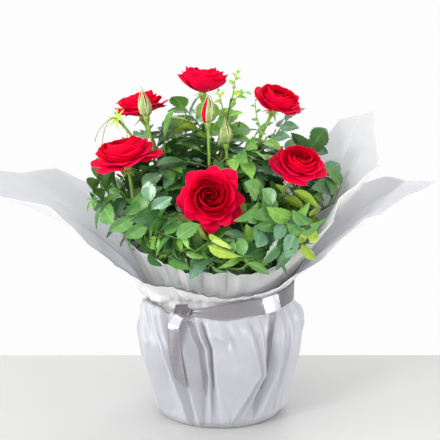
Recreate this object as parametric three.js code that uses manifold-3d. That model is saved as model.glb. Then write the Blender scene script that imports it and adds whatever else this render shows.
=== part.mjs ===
// A miniature rose bush in a pot, wrapped in two sheets of paper tied with a ribbon.
// Millimetres, +Z up. The origin is the middle of the flat underside of the wrapping,
// +X is the viewer's right and +Y points away from the viewer.
import * as THREE from "three";
import { mergeVertices } from "three/addons/utils/BufferGeometryUtils.js";
import Module from "manifold-3d";

const wasm = await Module();
wasm.setup();

// ---------------------------------------------------------------- driving sizes

const GAP = 0.3; // clearance between two pieces that touch on the real plant
const TAU = 2 * Math.PI;
const UP = new THREE.Vector3(0, 0, 1);

const PAPER = 1.2; // thickness of a wrapping sheet with its creases
const PLY_GAP = 0.8; // air between the two sheets at the neck
const NECK_HEIGHT = 111; // middle of the ribbon above the table
const NECK_TILT = 0.06; // the ribbon climbs this much per millimetre to the right

const POT = { top: 62, base: 45, height: 112, wall: 1.8, floor: 2.5, rim: 3, rimHeight: 10 };
const SOIL_TOP = 101;

const INNER_NECK = POT.top + GAP + PAPER / 2 + 0.4; // middle of the inner sheet's wall
const OUTER_NECK = INNER_NECK + PAPER + PLY_GAP;
const RIBBON = { width: 15, thickness: 1.2 };
const RIBBON_RADIUS = OUTER_NECK + PAPER / 2 + GAP + RIBBON.thickness / 2 + 0.3;
const NECK_HALF = RIBBON.width / 2 + 1.5; // half the height of the straight neck

const CANE = { flare: 3.8, foot: 2.7, tip: 2.0, flareHeight: 5 };
const SHOOT = { foot: 1.8, tip: 1.1 };
const FORK = { first: 0.06, step: 0.13 }; // where the side shoots leave a mass's first shoot
const STALK = { foot: 1.35, tip: 1.5, hip: 3.4, hipLength: 6 };

const LEAF = {
  spacing: 7, // along a shoot from one leaf to the next
  bare: 10, // the part of a shoot by its fork that carries none
  turn: (137.5 * Math.PI) / 180, // round the shoot from one leaf to the next
  lean: (66 * Math.PI) / 180, // between the shoot and a leaf's stalk
  petiole: 10, // from the shoot to the first pair of leaflets
  pairSpacing: 20,
  endSpacing: 12.5, // from the last pair to the end leaflet
  stalkHalf: 0.9, // half the width of the leaf's stalk
  terminal: 34, // length of the end leaflet, larger than life so that fewer fill the crown
  lateral: 30,
  slenderness: 0.34, // half a leaflet's width over its length
  sideAngle: (78 * Math.PI) / 180,
  thickness: 1.0,
  droop: 0.3, // how far the tip hangs, as a share of the leaf's length
  cup: 0.012, // how the leaflets fall away from the leaf's middle, per millimetre
  up: 0.4, // how much the blades face the sky, and how much they face away from the crown
  outward: 1,
};
const CROWN = {
  centre: new THREE.Vector3(2, -2, 208),
  x: 122,
  y: 98,
  z: 106,
  heart: new THREE.Vector3(0, 8, 165), // the leaves face away from here
};
const LEAF_TRIES = 20; // a leaf without room is tried again this often, further round and smaller
const SHOOT_CLEARANCE = 2.6; // between a leaf's sample points and the middle of its mass's shoots
const CELL_MARGIN = 1.2; // a mass keeps this far inside its own space
const LIMB_CLEARANCE = 3.4; // between a leaf's sample points and a limb's skin

// ---------------------------------------------------------------- helpers

const v3 = (x, y, z) => new THREE.Vector3(x, y, z);

/** A repeatable stream of numbers from 0 to 1. */
function seededRandom(seed) {
  let state = seed >>> 0;
  return () => {
    state = (Math.imul(state, 1664525) + 1013904223) >>> 0;
    return state / 4294967296;
  };
}

/** A closed geometry as a manifold solid. */
function solid(geometry) {
  const bare = geometry.clone();
  bare.deleteAttribute("normal");
  bare.deleteAttribute("uv");
  const merged = mergeVertices(bare, 1e-4);
  return new wasm.Manifold(
    new wasm.Mesh({
      numProp: 3,
      vertProperties: new Float32Array(merged.attributes.position.array),
      triVerts: new Uint32Array(merged.index.array),
    }),
  );
}

/** A manifold solid as a geometry. */
function geometryOf(made) {
  const mesh = made.getMesh();
  return new THREE.BufferGeometry()
    .setAttribute("position", new THREE.BufferAttribute(mesh.vertProperties, 3))
    .setIndex(new THREE.BufferAttribute(mesh.triVerts, 1));
}

/** Solids joined into one, without any scrap that touches nothing. */
function fused(solids) {
  const bodies = wasm.Manifold.union(solids).decompose();
  return bodies.reduce((best, body) => (body.volume() > best.volume() ? body : best));
}

/** A grid of points as a closed slab: rows of columns, with a thickness split to both sides. */
function slab(rows, thickness) {
  const height = rows.length;
  const width = rows[0].length;
  const front = [];
  const back = [];
  for (let j = 0; j < height; j++) {
    for (let i = 0; i < width; i++) {
      const along = rows[Math.min(j + 1, height - 1)][i].clone().sub(rows[Math.max(j - 1, 0)][i]);
      const across = rows[j][Math.min(i + 1, width - 1)].clone().sub(rows[j][Math.max(i - 1, 0)]);
      const normal = across.cross(along).normalize().multiplyScalar(thickness / 2);
      front.push(rows[j][i].clone().add(normal));
      back.push(rows[j][i].clone().sub(normal));
    }
  }
  const index = [];
  const behind = front.length;
  const at = (j, i) => j * width + i;
  const quad = (a, b, c, d) => index.push(a, b, c, a, c, d);
  for (let j = 0; j + 1 < height; j++) {
    for (let i = 0; i + 1 < width; i++) {
      const corners = [at(j, i), at(j, i + 1), at(j + 1, i + 1), at(j + 1, i)];
      quad(...corners);
      quad(...corners.map((corner) => corner + behind).reverse());
    }
  }
  const rim = [];
  for (let i = 0; i + 1 < width; i++) rim.push(at(0, i));
  for (let j = 0; j + 1 < height; j++) rim.push(at(j, width - 1));
  for (let i = width - 1; i > 0; i--) rim.push(at(height - 1, i));
  for (let j = height - 1; j > 0; j--) rim.push(at(j, 0));
  rim.forEach((a, k) => {
    const b = rim[(k + 1) % rim.length];
    quad(b, a, a + behind, b + behind);
  });
  return pointsGeometry([...front, ...back], index);
}

function pointsGeometry(points, index) {
  return new THREE.BufferGeometry()
    .setAttribute("position", new THREE.Float32BufferAttribute(points.flatMap((p) => [p.x, p.y, p.z]), 3))
    .setIndex(index);
}

/** A cubic curve from one point to another with the given headings at its ends. */
function arc(from, heading, to, arrival, swing = 0.36) {
  const reach = from.distanceTo(to) * swing;
  return new THREE.CubicBezierCurve3(
    from,
    from.clone().addScaledVector(heading, reach),
    to.clone().addScaledVector(arrival, -reach),
    to,
  );
}

/** Two directions square to a heading and to each other. */
function sideways(heading) {
  const reference = Math.abs(heading.x) < 0.9 ? v3(1, 0, 0) : v3(0, 1, 0);
  const a = heading.clone().cross(reference).normalize();
  return [a, heading.clone().cross(a)];
}

/** A tapering limb along a curve: radius(t) gives its skin from foot to tip. */
function limb(curve, radius, sides, steps) {
  const rod = new THREE.CylinderGeometry(1, 1, 1, sides, steps);
  const { tangents, normals, binormals } = curve.computeFrenetFrames(steps);
  const position = rod.attributes.position;
  for (let k = 0; k < position.count; k++) {
    const t = position.getY(k) + 0.5;
    const step = Math.round(t * steps);
    const r = radius(t);
    const place = curve
      .getPointAt(t)
      .addScaledVector(normals[step], position.getX(k) * r)
      .addScaledVector(binormals[step], -position.getZ(k) * r);
    if (tangents[step].lengthSq() < 0.5) throw new Error("a limb's curve stands still");
    position.setXYZ(k, place.x, place.y, place.z);
  }
  return rod;
}

const taper = (foot, tip) => (t) => foot + (tip - foot) * t;

const group = new THREE.Group();

function add(name, made, material) {
  const mesh = new THREE.Mesh(made.isBufferGeometry ? made : geometryOf(made), material);
  mesh.name = name;
  group.add(mesh);
}

// ---------------------------------------------------------------- materials

const paint = (color, roughness, metalness = 0) => new THREE.MeshStandardMaterial({ color, roughness, metalness });
const materials = {
  pot: paint(0x5a4a40, 0.6),
  soil: paint(0x33241a, 0.95),
  innerPaper: paint(0xe4e6ea, 0.75),
  outerPaper: paint(0xcfd2d6, 0.7),
  ribbon: paint(0x8c878c, 0.35),
  cane: paint(0x5f7a35, 0.6),
  foliage: paint(0x2f5f2c, 0.5),
  stalk: paint(0x86ad36, 0.5),
  petal: paint(0xd0062a, 0.55),
};

// ---------------------------------------------------------------- pot and soil

const POT_SIDES = 24;

function makePot() {
  const { top, base, height, wall, floor, rim, rimHeight } = POT;
  const lift = PAPER + GAP;
  const neck = top - rim;
  const profile = [
    [0, lift],
    [base, lift],
    [neck, height - rimHeight],
    [top, height - rimHeight],
    [top, height],
    [neck - wall, height],
    [neck - wall, height - rimHeight],
    [base - wall, lift + floor],
    [0, lift + floor],
  ];
  const shape = profile.map(([r, z]) => new THREE.Vector2(r, z));
  add("pot", new THREE.LatheGeometry(shape, POT_SIDES).rotateX(Math.PI / 2), materials.pot);
}

function makeSoil() {
  const { top, base, height, wall, floor, rim, rimHeight } = POT;
  const bottom = PAPER + GAP + floor;
  const inside = (z) => {
    const share = Math.min((z - bottom) / (height - rimHeight - bottom), 1);
    return base + (top - rim - base) * share - wall - 2 * GAP;
  };
  const shape = [
    [0, bottom + GAP],
    [inside(bottom + GAP), bottom + GAP],
    [inside(SOIL_TOP), SOIL_TOP],
    [0, SOIL_TOP],
  ].map(([r, z]) => new THREE.Vector2(r, z));
  add("potting_soil", new THREE.LatheGeometry(shape, POT_SIDES).rotateX(Math.PI / 2), materials.soil);
}

// ---------------------------------------------------------------- wrapping

// The free edge of each sheet: corner points as heading (degrees from +X), distance from
// the axis, height, and how far the sheet bows up off the straight line from the neck.
const OUTER_EDGE = [
  { heading: 357, reach: 193, height: 213, bow: 0.05 },
  { heading: 17, reach: 160, height: 208, bow: 0.04 },
  { heading: 50, reach: 116, height: 176, bow: 0.0 },
  { heading: 93, reach: 101, height: 165, bow: 0.0 },
  { heading: 130, reach: 112, height: 170, bow: 0.0 },
  { heading: 161, reach: 162, height: 214, bow: 0.05 },
  { heading: 182, reach: 234, height: 221, bow: 0.09 },
  { heading: 198, reach: 150, height: 194, bow: 0.06 },
  { heading: 212, reach: 108, height: 151, bow: 0.02 },
  { heading: 225, reach: 94, height: 139, bow: 0.0 },
  { heading: 248, reach: 84, height: 134, bow: 0.0 },
  { heading: 275, reach: 79, height: 126, bow: 0.0 },
  { heading: 300, reach: 77, height: 127, bow: 0.0 },
  { heading: 322, reach: 86, height: 141, bow: 0.0 },
  { heading: 331, reach: 104, height: 155, bow: 0.02 },
  { heading: 340, reach: 133, height: 187, bow: 0.04 },
];
const INNER_EDGE = [
  { heading: 358, reach: 141, height: 228, bow: 0.0 },
  { heading: 14, reach: 146, height: 271, bow: -0.02 },
  { heading: 29, reach: 128, height: 259, bow: -0.02 },
  { heading: 37, reach: 115, height: 228, bow: 0.0 },
  { heading: 52, reach: 99, height: 190, bow: 0.0 },
  { heading: 93, reach: 88, height: 174, bow: 0.0 },
  { heading: 140, reach: 92, height: 178, bow: 0.0 },
  { heading: 165, reach: 100, height: 188, bow: 0.0 },
  { heading: 190, reach: 97, height: 182, bow: 0.0 },
  { heading: 215, reach: 86, height: 160, bow: 0.0 },
  { heading: 250, reach: 81, height: 149, bow: 0.0 },
  { heading: 290, reach: 78, height: 146, bow: 0.0 },
  { heading: 313, reach: 83, height: 154, bow: 0.0 },
  { heading: 334, reach: 108, height: 186, bow: 0.0 },
  { heading: 342, reach: 109, height: 204, bow: 0.0 },
];
// The outer sheet's skirt round the pot, from the underside to the neck.
const SKIRT = [
  [56, 0.6],
  [61, 6],
  [65, 28],
  [70.5, 54],
  [73.5, 74],
  [71.5, 91],
];
const TUCK = 14; // how far the inner sheet reaches down inside the neck
const SHEET_SIDES = 36;
const COLLAR_ROWS = 3;

const neckHeight = (x) => NECK_HEIGHT + NECK_TILT * x;
const radians = (degrees) => (degrees * Math.PI) / 180;

/** The point of a sheet's free edge at a heading, on the straight line between two corners. */
function edgeAt(edge, angle) {
  const heading = v3(Math.cos(angle), Math.sin(angle), 0);
  const corner = (c) =>
    v3(c.reach * Math.cos(radians(c.heading)), c.reach * Math.sin(radians(c.heading)), c.height);
  const beyond = (p) => heading.x * p.y - heading.y * p.x;
  for (let k = 0; k < edge.length; k++) {
    const from = corner(edge[k]);
    const next = edge[(k + 1) % edge.length];
    const to = corner(next);
    const a = beyond(from);
    const b = beyond(to);
    if (a <= 1e-9 && b > 1e-9 && heading.dot(from) > 0 && heading.dot(to) > 0) {
      const t = a / (a - b);
      const place = from.lerp(to, t);
      return {
        reach: Math.hypot(place.x, place.y),
        height: place.z,
        bow: edge[k].bow + (next.bow - edge[k].bow) * t,
      };
    }
  }
  throw new Error("no edge at this heading");
}

/** Headings spaced evenly round the axis, the nearest ones moved onto the corners. */
function sheetHeadings(edge) {
  const headings = Array.from({ length: SHEET_SIDES }, (_, k) => (k * TAU) / SHEET_SIDES);
  for (const { heading } of edge) {
    const k = Math.round((radians(heading) / TAU) * SHEET_SIDES) % SHEET_SIDES;
    headings[k] = radians(heading) - (k === 0 && heading > 180 ? TAU : 0);
  }
  return headings;
}

/** A sheet's collar at a heading: (radius, height) from the neck at 0 to the free edge at 1. */
function collarAt(edge, angle, neckRadius, t) {
  const end = edgeAt(edge, angle);
  const foot = new THREE.Vector2(neckRadius, neckHeight(neckRadius * Math.cos(angle)) + NECK_HALF);
  const tip = new THREE.Vector2(end.reach, end.height);
  const chord = tip.clone().sub(foot);
  const middle = foot.clone().addScaledVector(chord, 0.5);
  middle.add(new THREE.Vector2(-chord.y, chord.x).multiplyScalar(2 * end.bow));
  const s = 1 - t;
  return foot
    .multiplyScalar(s * s)
    .addScaledVector(middle, 2 * s * t)
    .addScaledVector(tip, t * t);
}

/** A sheet turned round the axis, closed on itself: profileAt gives its rows of (radius, height). */
function wrappedSheet(headings, profileAt, thickness, capped = false) {
  const sides = headings.length;
  const rows = headings.map(profileAt);
  const count = rows[0].length;
  const points = [];
  const sideOf = (sign) => {
    headings.forEach((angle, i) => {
      for (let j = 0; j < count; j++) {
        const before = rows[i][Math.max(j - 1, 0)];
        const after = rows[i][Math.min(j + 1, count - 1)];
        const slope = after.clone().sub(before).normalize();
        const flat = capped && j === 0;
        const r = rows[i][j].x + (flat ? 0 : (sign * slope.y * thickness) / 2);
        const z = rows[i][j].y - (flat ? (sign * thickness) / 2 : (sign * slope.x * thickness) / 2);
        points.push(v3(r * Math.cos(angle), r * Math.sin(angle), z));
      }
    });
  };
  sideOf(1);
  sideOf(-1);
  const inner = sides * count;
  const at = (i, j) => (i % sides) * count + j;
  const index = [];
  const quad = (a, b, c, d) => index.push(a, b, c, a, c, d);
  for (let i = 0; i < sides; i++) {
    for (let j = 0; j + 1 < count; j++) {
      const corners = [at(i, j), at(i + 1, j), at(i + 1, j + 1), at(i, j + 1)];
      quad(...corners);
      quad(...corners.map((corner) => corner + inner).reverse());
    }
    quad(at(i, count - 1), at(i + 1, count - 1), at(i + 1, count - 1) + inner, at(i, count - 1) + inner);
    if (!capped) quad(at(i + 1, 0), at(i, 0), at(i, 0) + inner, at(i + 1, 0) + inner);
  }
  if (capped) {
    const middle = rows[0][0].y;
    points.push(v3(0, 0, middle - thickness / 2), v3(0, 0, middle + thickness / 2));
    for (let i = 0; i < sides; i++) {
      index.push(points.length - 2, at(i + 1, 0), at(i, 0));
      index.push(points.length - 1, at(i, 0) + inner, at(i + 1, 0) + inner);
    }
  }
  return pointsGeometry(points, index);
}

function makeOuterWrap() {
  const profileAt = (angle) => {
    const rows = SKIRT.map(([r, z]) => new THREE.Vector2(r, z));
    rows.push(new THREE.Vector2(OUTER_NECK, neckHeight(OUTER_NECK * Math.cos(angle)) - NECK_HALF));
    for (let j = 0; j <= COLLAR_ROWS; j++) {
      rows.push(collarAt(OUTER_EDGE, angle, OUTER_NECK, j / COLLAR_ROWS));
    }
    return rows;
  };
  add("wrap_outer", wrappedSheet(sheetHeadings(OUTER_EDGE), profileAt, PAPER, true), materials.outerPaper);
}

function makeInnerWrap() {
  const profileAt = (angle) => {
    const middle = neckHeight(INNER_NECK * Math.cos(angle));
    const rows = [new THREE.Vector2(INNER_NECK, middle - TUCK), new THREE.Vector2(INNER_NECK, middle)];
    for (let j = 0; j <= COLLAR_ROWS; j++) {
      rows.push(collarAt(INNER_EDGE, angle, INNER_NECK, j / COLLAR_ROWS));
    }
    return rows;
  };
  add("wrap_inner", wrappedSheet(sheetHeadings(INNER_EDGE), profileAt, PAPER), materials.innerPaper);
}

// ---------------------------------------------------------------- ribbon

const KNOT_HEADING = radians(242);
const KNOT_HALF_ANGLE = radians(7.5);
const KNOT = { width: 13, height: 15, depth: 5 };
// The tail hangs clear of the skirt, lies no further in above its shoulder, and is cut on a slant.
const TAIL = { width: 12, length: 66, sway: 6, clear: 2.2, shoulder: 90, slant: 4, steps: 10 };
const BAND_STEPS = 32;

/** A place on the ribbon's round at a heading, a height above its middle and a distance out. */
function onNeck(angle, rise, radius) {
  return v3(radius * Math.cos(angle), radius * Math.sin(angle), neckHeight(radius * Math.cos(angle)) + rise);
}

function makeRibbonBand() {
  const from = KNOT_HEADING + KNOT_HALF_ANGLE;
  const turn = TAU - 2 * KNOT_HALF_ANGLE;
  const rows = [-RIBBON.width / 2, RIBBON.width / 2].map((rise) =>
    Array.from({ length: BAND_STEPS + 1 }, (_, k) => onNeck(from + (turn * k) / BAND_STEPS, rise, RIBBON_RADIUS)),
  );
  add("ribbon_band", slab(rows, RIBBON.thickness), materials.ribbon);
}

function makeRibbonKnot() {
  const body = new THREE.SphereGeometry(0.5, 8, 6).rotateX(Math.PI / 2);
  body.scale(KNOT.depth, KNOT.width, KNOT.height);
  body.rotateZ(KNOT_HEADING);
  const middle = onNeck(KNOT_HEADING, 0, OUTER_NECK + PAPER / 2 + GAP + KNOT.depth / 2 + 0.4);
  body.translate(middle.x, middle.y, middle.z);
  add("ribbon_knot", body, materials.ribbon);
  return middle;
}

function makeRibbonTail(knot) {
  const start = knot.z - KNOT.height / 2 - GAP - 0.5;
  const skirt = (z) => {
    const k = SKIRT.findIndex(([, height]) => height > z);
    const [r0, z0] = SKIRT[k - 1];
    const [r1, z1] = SKIRT[k];
    return r0 + ((r1 - r0) * (z - z0)) / (z1 - z0);
  };
  const bulge = Math.max(...SKIRT.map(([r]) => r));
  const rows = [-0.5, 0.5].map((side) =>
    Array.from({ length: TAIL.steps + 1 }, (_, k) => {
      const t = k / TAIL.steps;
      const z = start - TAIL.length * t;
      const angle = KNOT_HEADING + (TAIL.sway * (t * t - 0.9 * t)) / bulge + (side * TAIL.width) / bulge;
      const out = skirt(Math.min(z, TAIL.shoulder)) + TAIL.clear;
      return v3(out * Math.cos(angle), out * Math.sin(angle), z + side * TAIL.slant * t);
    }),
  );
  add("ribbon_tail", slab(rows, RIBBON.thickness), materials.ribbon);
}

// ---------------------------------------------------------------- the plant's frame

// Each cane rises from the soil to the foot of one leafy mass. A mass's shoots fork from
// that foot; each ends in a leafy tip or carries the flower of the same number.
const MASSES = [
  {
    name: "left",
    foot: [-40, -4, 148],
    shoots: [
      { tip: [-74, -30, 194], heading: [-0.2, -0.1, 1] },
      { tip: [-58, 26, 236], heading: [-0.25, 0.15, 1] },
      { tip: [-59, 2, 236], heading: [-0.1, 0, 1] },
      { tip: [-98, -6, 200], heading: [-0.6, 0, 0.7] },
      { tip: [-84, -24, 172], heading: [-0.9, -0.2, 0.2] },
    ],
  },
  {
    name: "front_left",
    foot: [-20, -33, 138],
    shoots: [
      { tip: [-3, -40, 184], heading: [0.1, -0.1, 1] },
      { tip: [-64, -48, 158], heading: [-0.8, -0.3, 0.2] },
      { tip: [-38, -56, 190], heading: [-0.2, -0.4, 0.8] },
      { tip: [-16, -66, 162], heading: [0, -0.8, 0.3] },
      { tip: [-56, -58, 182], heading: [-0.5, -0.4, 0.6] },
    ],
  },
  {
    name: "front_right",
    foot: [24, -33, 138],
    shoots: [
      { tip: [36, -52, 192], heading: [0.2, -0.4, 0.8] },
      { tip: [64, -46, 160], heading: [0.8, -0.3, 0.2] },
      { tip: [24, -66, 162], heading: [0.1, -0.8, 0.2] },
      { tip: [58, -56, 184], heading: [0.5, -0.4, 0.6] },
    ],
  },
  {
    name: "right",
    foot: [41, -4, 148],
    shoots: [
      { tip: [50, -17, 198], heading: [0.45, -0.1, 0.9] },
      { tip: [102, -10, 196], heading: [0.7, -0.1, 0.5] },
      { tip: [86, 12, 222], heading: [0.5, 0.1, 0.7] },
      { tip: [76, -28, 168], heading: [0.8, -0.3, 0.3] },
    ],
  },
  {
    name: "back_right",
    foot: [22, 34, 148],
    shoots: [
      { tip: [34, 14, 244], heading: [0.35, -0.1, 1] },
      { tip: [64, 48, 200], heading: [0.6, 0.5, 0.5] },
      { tip: [20, 66, 190], heading: [0.1, 0.8, 0.4] },
    ],
  },
  {
    name: "back_left",
    foot: [-22, 34, 148],
    shoots: [
      { tip: [-32, 34, 250], heading: [-0.1, 0, 1] },
      { tip: [-66, 46, 204], heading: [-0.6, 0.5, 0.5] },
      { tip: [-22, 66, 196], heading: [-0.1, 0.8, 0.4] },
    ],
  },
  {
    name: "top",
    foot: [-2, 2, 160],
    shoots: [
      { tip: [-13, 12, 262], heading: [-0.05, 0, 1] },
      { tip: [-9.5, -19, 230], heading: [0, 0, 1] },
      { tip: [6.5, -8, 228], heading: [0, 0, 1] },
      { tip: [10, 6, 286], heading: [0.15, 0, 1] },
      { tip: [18, 26, 262], heading: [0.3, 0.3, 1] },
    ],
  },
];

// The blooms, each on the shoot it ends: middle of the open flower, the way it faces, its
// radius, and how far it is closed into a cup.
const ROSES = [
  { name: "front", on: ["front_left", 0], centre: [-8, -60, 211], facing: [-0.03, -0.94, 0.33], radius: 31.5, cup: 0 },
  { name: "left", on: ["left", 0], centre: [-83, -36, 245], facing: [-0.24, -0.08, 0.96], radius: 31, cup: 0.12 },
  { name: "upper_left", on: ["left", 1], centre: [-72, 34, 277], facing: [-0.22, 0.12, 0.96], radius: 25, cup: 0.2 },
  { name: "top", on: ["top", 0], centre: [-15, 14, 300], facing: [0.05, 0.08, 0.99], radius: 23, cup: 0.65 },
  { name: "upper_right", on: ["back_right", 0], centre: [51, 9, 284], facing: [0.34, -0.3, 0.89], radius: 23, cup: 0.35 },
  { name: "right", on: ["right", 0], centre: [70, -19, 233], facing: [0.2, -0.5, 0.84], radius: 25.5, cup: 0.1 },
];
const BUDS = [
  { name: "left", on: ["left", 2], base: [-65, 1, 271], facing: [-0.14, 0, 1], length: 25, radius: 6.2 },
  { name: "centre", on: ["top", 1], base: [-10.4, -18, 268], facing: [0, 0, 1], length: 27, radius: 6.0 },
  { name: "right", on: ["top", 2], base: [5.3, -8, 248], facing: [-0.05, 0, 1], length: 24, radius: 6.2 },
];

const place = (list) => v3(...list);
const direction = (list) => v3(...list).normalize();
const BLOOM_DEPTH = 0.4; // of the radius, from the petals' foot to the flower's middle
const BLOOM_HEIGHT = 0.95; // of the radius, the reach of the flower along its axis
// A cane leaves the soil this share of its foot's distance from the axis, and leans as if from the second share.
const CANE_ROOT = { place: 0.42, lean: 0.62 };

/** The way the cane arrives at the foot of a mass, which its shoots set out along. */
function caneArrival(mass) {
  const foot = place(mass.foot);
  return foot.clone().sub(v3(foot.x * CANE_ROOT.lean, foot.y * CANE_ROOT.lean, SOIL_TOP)).normalize();
}

/** The curves of the whole frame: canes, shoots and flower stalks. */
function growFrame() {
  const frame = { canes: [], shoots: [], stalks: [], buds: [] };
  for (const mass of MASSES) {
    const foot = place(mass.foot);
    const arrival = caneArrival(mass);
    const ground = v3(foot.x * CANE_ROOT.place, foot.y * CANE_ROOT.place, SOIL_TOP + GAP);
    const top = foot.clone().addScaledVector(arrival, -GAP);
    frame.canes.push({ name: mass.name, curve: arc(ground, UP, top, arrival, 0.4) });
    const main = arc(foot, arrival, place(mass.shoots[0].tip), direction(mass.shoots[0].heading));
    mass.shoots.forEach((shoot, number) => {
      const tip = place(shoot.tip);
      const fork = main.getPointAt(Math.max(FORK.first + FORK.step * (number - 1), 0));
      const away = main.getTangentAt(0).multiplyScalar(0.4).addScaledVector(tip.clone().sub(fork).normalize(), 0.6);
      const curve = number === 0 ? main : arc(fork, away.normalize(), tip, direction(shoot.heading));
      frame.shoots.push({ mass: mass.name, number, curve });
    });
  }
  const endOf = ([mass, number]) => {
    const shoot = frame.shoots.find((one) => one.mass === mass && one.number === number);
    const heading = shoot.curve.getTangentAt(1);
    return { from: shoot.curve.getPointAt(1).addScaledVector(heading, GAP), heading };
  };
  for (const rose of ROSES) {
    const { from, heading } = endOf(rose.on);
    const facing = direction(rose.facing);
    const seat = place(rose.centre).addScaledVector(facing, -BLOOM_DEPTH * rose.radius);
    frame.stalks.push({ ...rose, facing, seat, curve: arc(from, heading, seat, facing, 0.4) });
  }
  for (const bud of BUDS) {
    const { from, heading } = endOf(bud.on);
    const facing = direction(bud.facing);
    frame.buds.push({ ...bud, facing, seat: place(bud.base), curve: arc(from, heading, place(bud.base), facing) });
  }
  return frame;
}

// ---------------------------------------------------------------- room for the leaves

const SHOOT_SAMPLES = 14;
const BLOOM_ROOM = 3; // left free round an open flower
const BUD_ROOM = { beside: 4.5, ends: 4 }; // left free round a bud
const PAPER_ROOM = { inside: 3, above: 4 }; // left free inside a sheet, and over its free edge
const PAPER_STEPS = 8; // places along a sheet's collar at which its reach is measured

/** Points down the middle of a curve. */
const spine = (curve, count) => Array.from({ length: count + 1 }, (_, k) => curve.getPointAt(k / count));

/** The distance from a point to a line of points. */
function distanceTo(line, point) {
  let best = Infinity;
  const piece = new THREE.Line3();
  const nearest = v3(0, 0, 0);
  for (let k = 0; k + 1 < line.length; k++) {
    piece.set(line[k], line[k + 1]).closestPointToPoint(point, true, nearest);
    best = Math.min(best, nearest.distanceTo(point));
  }
  return best;
}

/** What a leaf has to keep clear of, and the space of each mass. */
class Room {
  constructor(frame) {
    this.cells = MASSES.map((mass) => ({
      name: mass.name,
      lines: frame.shoots.filter((s) => s.mass === mass.name).map((s) => spine(s.curve, SHOOT_SAMPLES)),
    }));
    this.limbs = [
      ...frame.canes.map((c) => ({ line: spine(c.curve, 8), radius: CANE.foot })),
      ...frame.stalks.map((s) => ({ line: spine(s.curve, 10), radius: STALK.tip })),
      ...frame.buds.map((b) => ({ line: spine(b.curve, 8), radius: STALK.tip })),
    ];
    this.blooms = [
      ...frame.stalks.map((s) => ({
        middle: s.seat.clone().addScaledVector(s.facing, (BLOOM_HEIGHT / 2 - 0.1) * s.radius),
        facing: s.facing,
        radius: s.radius * (1 - 0.3 * s.cup) + BLOOM_ROOM,
        half: (BLOOM_HEIGHT / 2 + 0.12) * s.radius + BLOOM_ROOM,
      })),
      ...frame.buds.map((b) => ({
        middle: b.seat.clone().addScaledVector(b.facing, b.length / 2),
        facing: b.facing,
        radius: b.radius + BUD_ROOM.beside,
        half: b.length / 2 + BUD_ROOM.ends,
      })),
    ];
  }

  /** Whether a point lies in a mass's own space. */
  owns(mass, point) {
    let own = Infinity;
    let other = Infinity;
    for (const cell of this.cells) {
      const near = Math.min(...cell.lines.map((line) => distanceTo(line, point)));
      if (cell.name === mass) own = near;
      else other = Math.min(other, near);
    }
    return own + CELL_MARGIN < other;
  }

  /** Whether a point is inside the crown and clear of limbs, flowers and paper. */
  clear(point, clearance) {
    const away = point.clone().sub(CROWN.centre);
    const share = Math.hypot(away.x / CROWN.x, away.y / CROWN.y, away.z / CROWN.z);
    if (share > 1) return false;
    const paper = this.paperRadius(point);
    if (Math.hypot(point.x, point.y) > paper) return false;
    if (this.limbs.some(({ line, radius }) => distanceTo(line, point) < radius + clearance)) return false;
    return !this.blooms.some(({ middle, facing, radius, half }) => {
      const offset = point.clone().sub(middle);
      const along = offset.dot(facing);
      const across = Math.sqrt(Math.max(offset.lengthSq() - along * along, 0));
      return Math.hypot(across / radius, along / half) < 1;
    });
  }

  /** How far from the axis a leaf may reach at a point's heading and height. */
  paperRadius(point) {
    const angle = (Math.atan2(point.y, point.x) + TAU) % TAU;
    const edge = edgeAt(INNER_EDGE, angle);
    if (point.z > edge.height + PAPER_ROOM.above) return Infinity;
    let reach = INNER_NECK;
    for (let k = 0; k <= PAPER_STEPS; k++) {
      const step = collarAt(INNER_EDGE, angle, INNER_NECK, k / PAPER_STEPS);
      if (step.y <= point.z) reach = Math.max(reach, step.x);
    }
    return reach - PAPER - PAPER_ROOM.inside;
  }
}

// ---------------------------------------------------------------- leaves

const BLADE_OUTLINE = [
  [0, 0],
  [0.4, 1],
  [1, 0],
  [0.4, -1],
]; // share of the length, share of half the width

/** A blade's corner points round its edge, in its own plane. */
function bladeEdge({ root, along, across, length, half }) {
  return BLADE_OUTLINE.map(([a, b]) => root.clone().addScaledVector(along, a * length).addScaledVector(across, b * half));
}

/** A leaflet or sepal as a closed lens, thickest down its midrib. */
function bladeSolid(blade, thickness) {
  const edge = bladeEdge(blade);
  const middle = blade.root.clone().addScaledVector(blade.along, blade.length * 0.45);
  const top = middle.clone().addScaledVector(blade.normal, thickness * 0.2);
  const under = middle.clone().addScaledVector(blade.normal, -thickness * 0.8);
  const index = [];
  edge.forEach((_, k) => {
    const next = (k + 1) % edge.length;
    index.push(edge.length, k, next, edge.length + 1, next, k);
  });
  return solid(pointsGeometry([...edge, top, under], index));
}

/** A leaflet's shape in its leaf's plane: its foot on the leaf's stalk and the way it points. */
function leafletShape(station, side, length, angle) {
  const along = new THREE.Vector2(Math.cos(angle), side * Math.sin(angle));
  const across = new THREE.Vector2(-along.y, along.x);
  const foot = new THREE.Vector2(station, side * LEAF.stalkHalf);
  const at = (a, b) =>
    foot
      .clone()
      .addScaledVector(along, a * length)
      .addScaledVector(across, b * length * LEAF.slenderness);
  return { station, side, at };
}

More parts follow.
